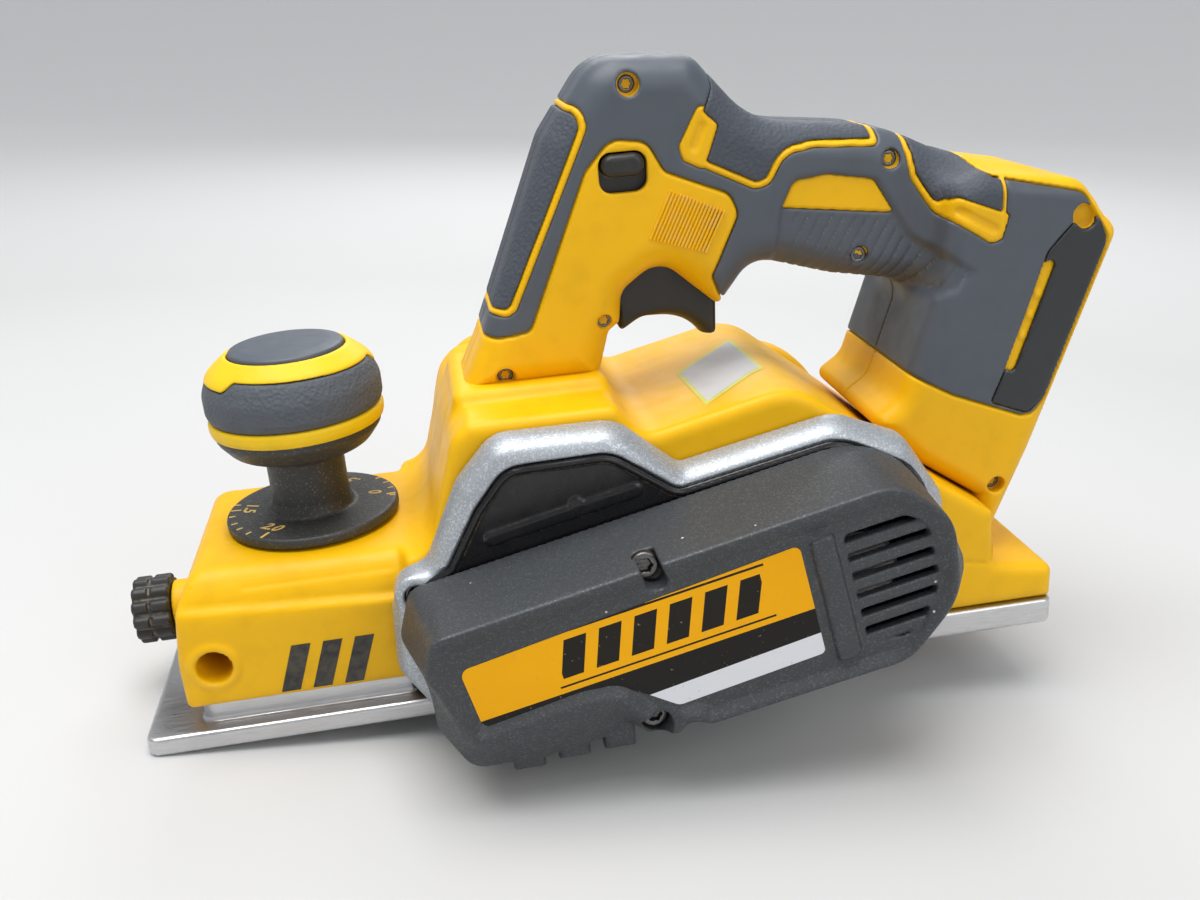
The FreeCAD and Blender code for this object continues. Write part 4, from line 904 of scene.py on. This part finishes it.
def make_lock_button():
    x, z = LOCK
    s = Space(LOCK_LOW - (3.5, 1.5, 4.5), LOCK_HIGH + (3.5, 1.5, 6), TINY)
    capsule = to_line(s.x, s.z, [(x - 2.9, z), (x + 2.9, z)]) - 3.2
    button = slab(capsule, s.y, LOCK_LOW[1], LOCK_HIGH[1], 2.2)
    dimple = np.sqrt((s.x - x - 2) ** 2 + (s.z - z) ** 2 + (np.abs(s.y) - 23) ** 2) - 3.8
    button = carve(button, dimple, 0.4)
    for low, high in ((-14.4, -12.6), (12.6, 14.4)):
        button = join(button, brick(s, (x - 8.4, low, z - 9), (x + 8.4, high, z + 8.6), 0.5), 0.4)
    skin("lock_off_capsule", s, button, trigger_black, "lock_off_button", body="lock_off_button")


def make_clamp():
    """The guide clamp's knob, with twelve lobes, a groove round it and a dished end."""
    s = Space(CLAMP_LOW - 1.5, CLAMP_HIGH + 1.5, TINY)
    start = CLAMP_LOW[0]
    radius, turn = np.hypot(s.y, s.z - CLAMP_Z), np.arctan2(s.z - CLAMP_Z, s.y)
    lobed = radius - 10.3 + 0.75 * (0.5 - 0.5 * np.cos(12 * turn)) ** 2 * 2
    groove = slab(np.abs(s.x - start - 5.2) - 0.5, radius, 9.3, 20, 0.3)
    grip = carve(slab(lobed, s.x, start, CLAMP_HIGH[0], 0.9), groove, 0.5)
    grip = carve(grip, slab(radius - 6.6, s.x, start - 5, start + 1.0, 0.4), 0.6)
    skin("clamp_grip", s, grip, black, "guide_clamp_knob", body="guide_clamp")


def make_stand():
    s = Space((HINGE[0] - 7, -9.5, -23.2), (HINGE[0] + 6, 9.5, 18), FINE)
    arm = slab(flat(s.x, s.z, STAND), s.y, -8, 8, 1)
    arm = join(arm, disc(s, "y", HINGE, -8, 8, 4.2), 1.5)
    arm = cut(arm, 0, disc(s, "y", HINGE, -20, 20, 2.1), disc(s, "y", HINGE, 2.9, 20, 3.9))
    arm = carve(arm, brick(s, (40.5, -5, -15), (60, 5, 3), 1), 0.6)
    skin("stand_arm", s, arm, black, "kickstand", body="kickstand")


def make_spring(node, piece, x, radius, wire, low, high, turns):
    """A coil spring round a vertical line, between two heights."""
    along = np.linspace(0, 1, turns * 36 + 1)[:, None]
    around = np.linspace(0, math.tau, 12, endpoint=False)
    out, turn = radius + wire / 2 * np.cos(around), along * turns * math.tau
    climb = low + (high - low) * along + wire / 2 * np.sin(around)
    points = np.stack((x + out * np.cos(turn), out * np.sin(turn), climb), axis=-1) * MM
    rings, sides = len(along), len(around)
    faces = tube_faces(rings, sides)
    ends = [tuple(range(sides)), tuple(reversed(range((rings - 1) * sides, rings * sides)))]
    mesh = smooth_mesh(piece, points.reshape(-1, 3).tolist(), faces + ends)
    item = settle(mesh, piece, spring_wire, [node])
    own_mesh(item)


def make_springs():
    make_spring("depth_spring", "depth_coil", KNOB_X, 11.5, 1.6, 16.9, 39.1, 5)
    make_spring("lock_off_spring", "lock_coil", LOCK[0], 2.4, 0.8, 138.45, 146.35, 4)


def make_chip_side():
    """The motor's end cap with its slots, and the chip tube."""
    s = Space(CAP_LOW - 1.5, CAP_HIGH + 1.5, MIDDLE)
    low, high, reach = CAP_LOW[1], CAP_HIGH[1] - 0.2, (CAP_HIGH[0] - CAP_LOW[0]) / 2
    radius, height = np.hypot(s.x, s.z - MOTOR[1]), s.z - MOTOR[1]
    cap = keep(slab(radius - reach, s.y, low, high, 5), low - s.y)
    cap = join(cap, slab(np.abs(radius - 12) - 1.2, s.y, low + 5, high, 0.8), 0.6)
    hollow = keep(slab(radius - reach + 3, s.y, low - 5, CAP_HIGH[1] - 3), -(radius - 14))
    cap = cut(cap, 0, hollow, disc(s, "y", MOTOR, low - 5, low + 8, 11.1),
              disc(s, "y", MOTOR, low - 5, low + 11, 5))
    slots = keep(np.abs((height + 3) % 6 - 3) - 1.4, keep(radius - reach + 5, -(radius - 15.5)))
    cap = carve(cap, keep(slots, CAP_HIGH[1] - 6 - s.y), 0.5)
    skin("motor_cap", s, cap, yellow, "motor_end_cap")

    s = Space(PORT_LOW - 1.5, PORT_HIGH + 1.5, MIDDLE)
    radius = np.hypot(s.x - PORT[0], s.z - PORT[1])
    tube = slab(radius - BORE_R - 1.9, s.y, PORT_LOW[1], PORT_HIGH[1], 0.8)
    tube = join(tube, slab(radius - PORT_R, s.y, PORT_LOW[1], PORT_LOW[1] + 3, 1.1), 1.2)
    tube = carve(tube, radius - BORE_R, 0.4)
    skin("chip_tube", s, tube, yellow, "chip_port")


def make_screws():
    """Star-recessed screws in the handle; the cover's and the frame's heads show down their own holes."""
    places = [(x, -(HANDLE_SIDE if x < 40 else POST_SIDE) + 4, z, 2.5, min(12.0, 28 - 0.2 * abs(x)))
              for x, z, _ in HANDLE_SCREWS]
    for node, spots, head_r, length in (("cover_screws", COVER_SCREWS, 3.8, 28),
                                        ("belt_housing_screws", FRAME_SCREWS, 3.5, 14)):
        places += [(x, span(node)[0][1], z, head_r, length) for x, z in spots]
    nodes = {0: ["handle_screws"], 6: ["cover_screws"], 9: ["belt_housing_screws"]}
    for i, (x, y, z, head_r, length) in enumerate(places):
        reach = head_r + 1.2
        s = Space((x - reach, y - 1, z - reach), (x + reach, y + length + 1, z + reach), 0.32)
        radius, turn = np.hypot(s.x - x, s.z - z), np.arctan2(s.z - z, s.x - x)
        screw = slab(radius - head_r, s.y, y, y + 2.4, 0.6)
        screw = join(screw, slab(radius - 1.4, s.y, y, y + length, 0.5), 0.4)
        star = radius - head_r * 0.5 - 0.2 * np.cos(6 * turn)
        screw = carve(screw, keep(star, s.y - y - 1.7), 0.25)
        skin("screw_%d" % i, s, screw, dark_steel, *nodes.get(i, ()))


def make_sticker():
    """A plain pale sticker with a lime border, laid on the hump."""
    shell = bpy.data.objects["housing_shell"].data
    tree = BVHTree.FromPolygons([v.co for v in shell.vertices], [p.vertices for p in shell.polygons])
    corner, long, wide = np.array((-31.4, 1.2)), np.array((21.8, 15.7)), np.array((1.5, -33.1))
    count = 24
    row = count + 1
    for name, margin, lift, paint in (("sticker_border", 0.0, 0.12, lime),
                                      ("sticker_face", 0.055, 0.18, pale)):
        points = []
        for i, j in np.ndindex(row, row):
            a, b = (margin + (1 - 2 * margin) * k / count for k in (i, j))
            x, y = corner + long * a + wide * b
            hit = tree.ray_cast(Vector((x, y, 130)) * MM, Vector((0, 0, -1)))
            points.append(hit[0] + hit[1] * lift * MM)
        starts = [i * row + j for i, j in np.ndindex(count, count)]
        settle(smooth_mesh(name, points, [(k, k + 1, k + row + 1, k + row) for k in starts]), name, paint)


def make_marks():
    """Three slanted bars on the nose, on the belt side."""
    outlines = [[(x, 14), (x + 5.4, 14), (x + 10.4, 28.5), (x + 5, 28.5)] for x in (-160, -151, -142)]
    prisms("deck_marks", outlines, "y", -SIDE + 1.9, -SIDE + 2.2, printed_black)


# ---- carried CAD nodes
def dress_nodes():
    """Paint the CAD nodes that are carried; those not named are black."""
    paints = {}
    for paint, names in (
            # painted shade: the drum pulley, motor pulley and pulley nut take the dark screw steel instead of
            # turned metal, so they read dark through the cover's open louvres
            (dark_steel, "rear_shoe_screws blade_clamp_screws drum_pulley motor_pulley drum_pulley_nut"),
            (steel, "cutter_blades blade_clamps depth_screw guide_clamp_screw kickstand_pin"),
            (steel, "drum_bearing_left drum_bearing_right motor_bearing_left motor_bearing_right"),
            (core_steel, "motor_rotor motor_stator"), (spring_wire, "trigger_spring kickstand_spring"),
            (turned_metal, "cutter_drum"), (copper, "motor_windings"), (belt_rubber, "drive_belt"),
            (board, "control_module")):
        paints.update(dict.fromkeys(names.split(), paint))
    for name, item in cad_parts.items():
        item.data.materials.clear()
        item.data.materials.append(paints.get(name, black).material)


# ---- studio
def make_floor():
    """A pale sweep, tilted so that it meets the nose and the kickstand's foot."""
    tilt = math.atan2(-span("kickstand")[0][2], HINGE[0] - 2 - NOSE)
    turns, rings = 96, [(0.01, 0), (0.8, 0), (1.6, 0)]
    rings += [(1.6 + 2.4 * math.sin(a), 2.4 - 2.4 * math.cos(a)) for a in np.linspace(0.1, 1.45, 16)]
    points = [(r * math.cos(k * math.tau / turns), r * math.sin(k * math.tau / turns), z)
              for r, z in rings for k in range(turns)]
    faces = tube_faces(len(rings), turns)
    mesh = smooth_mesh("floor", points, faces + [tuple(range(turns))])
    floor = put_in_scene("floor", mesh)
    floor.matrix_world = Matrix.Translation(Vector((NOSE, 0, -0.05)) * MM) @ Matrix.Rotation(tilt, 4, "Y")
    p = Paint("floor_paper", Roughness=0.75)
    near = p.mix(p.noise(3.0), (0.55, 0.55, 0.545, 1.0), (0.59, 0.59, 0.585, 1.0))
    distance = p.add("ShaderNodeVectorMath", {"operation": "LENGTH"}, i0=p.where).outputs["Value"]
    # painted light: the floor turns from the near grey to near white between 0.6 m and 1.7 m out, standing in
    # for a wash light on the far backdrop
    p.colour(p.mix(p.ramp(distance, 0.6, 1.7), near, (0.93, 0.93, 0.925, 1.0)))
    p.bump(p.noise(900.0), 0.05, 0.1)
    mesh.materials.append(p.material)


def make_lights():
    world = bpy.data.worlds.new("studio")
    bpy.context.scene.world = world
    world.use_nodes = True
    sky = world.node_tree.nodes["Background"]
    sky.inputs[0].default_value, sky.inputs[1].default_value = (0.84, 0.86, 0.9, 1), 0.5
    aim = Vector((-40, -20, 70)) * MM
    for name, place, width, power in (("key", (-0.2, -0.1, 1.25), 1.0, 18),
                                      ("fill", (0.7, -1.1, 0.8), 0.9, 5), ("rim", (0.2, 0.95, 0.8), 0.7, 5)):
        light = bpy.data.lights.new(name, "AREA")
        light.size, light.energy = width, power
        item = put_in_scene(name, light)
        item.location = place
        item.rotation_euler = (aim - item.location).to_track_quat("-Z", "Y").to_euler()


def make_camera():
    """A camera that looks level along +Y, then is turned by one rotation vector."""
    lens = bpy.data.cameras.new("camera")
    lens.lens, lens.sensor_width = 36.12, 36.0
    turn = Vector((0.3665, -0.1434, -0.1027))
    spin = Matrix.Rotation(turn.length, 3, turn.normalized())
    right, down, forward = spin @ Matrix(((1, 0, 0), (0, 0, -1), (0, 1, 0)))
    aimed = Matrix((right, -down, -forward)).transposed()
    camera = put_in_scene("camera", lens)
    camera.matrix_world = Matrix.Translation((-0.102959, -0.349455, 0.198099)) @ aimed.to_4x4()
    bpy.context.scene.camera = camera
    bpy.context.scene.view_settings.view_transform = "Standard"


for make in (
        make_housing, make_belt_frame, make_back_plate, make_cover, make_handle, make_rib_patch, make_knob,
        make_dial_marks, make_shoes, make_trigger, make_lock_button, make_clamp, make_stand, make_springs,
        make_chip_side, make_screws, make_sticker, make_marks, dress_nodes, make_floor, make_lights,
        make_camera):
    make()
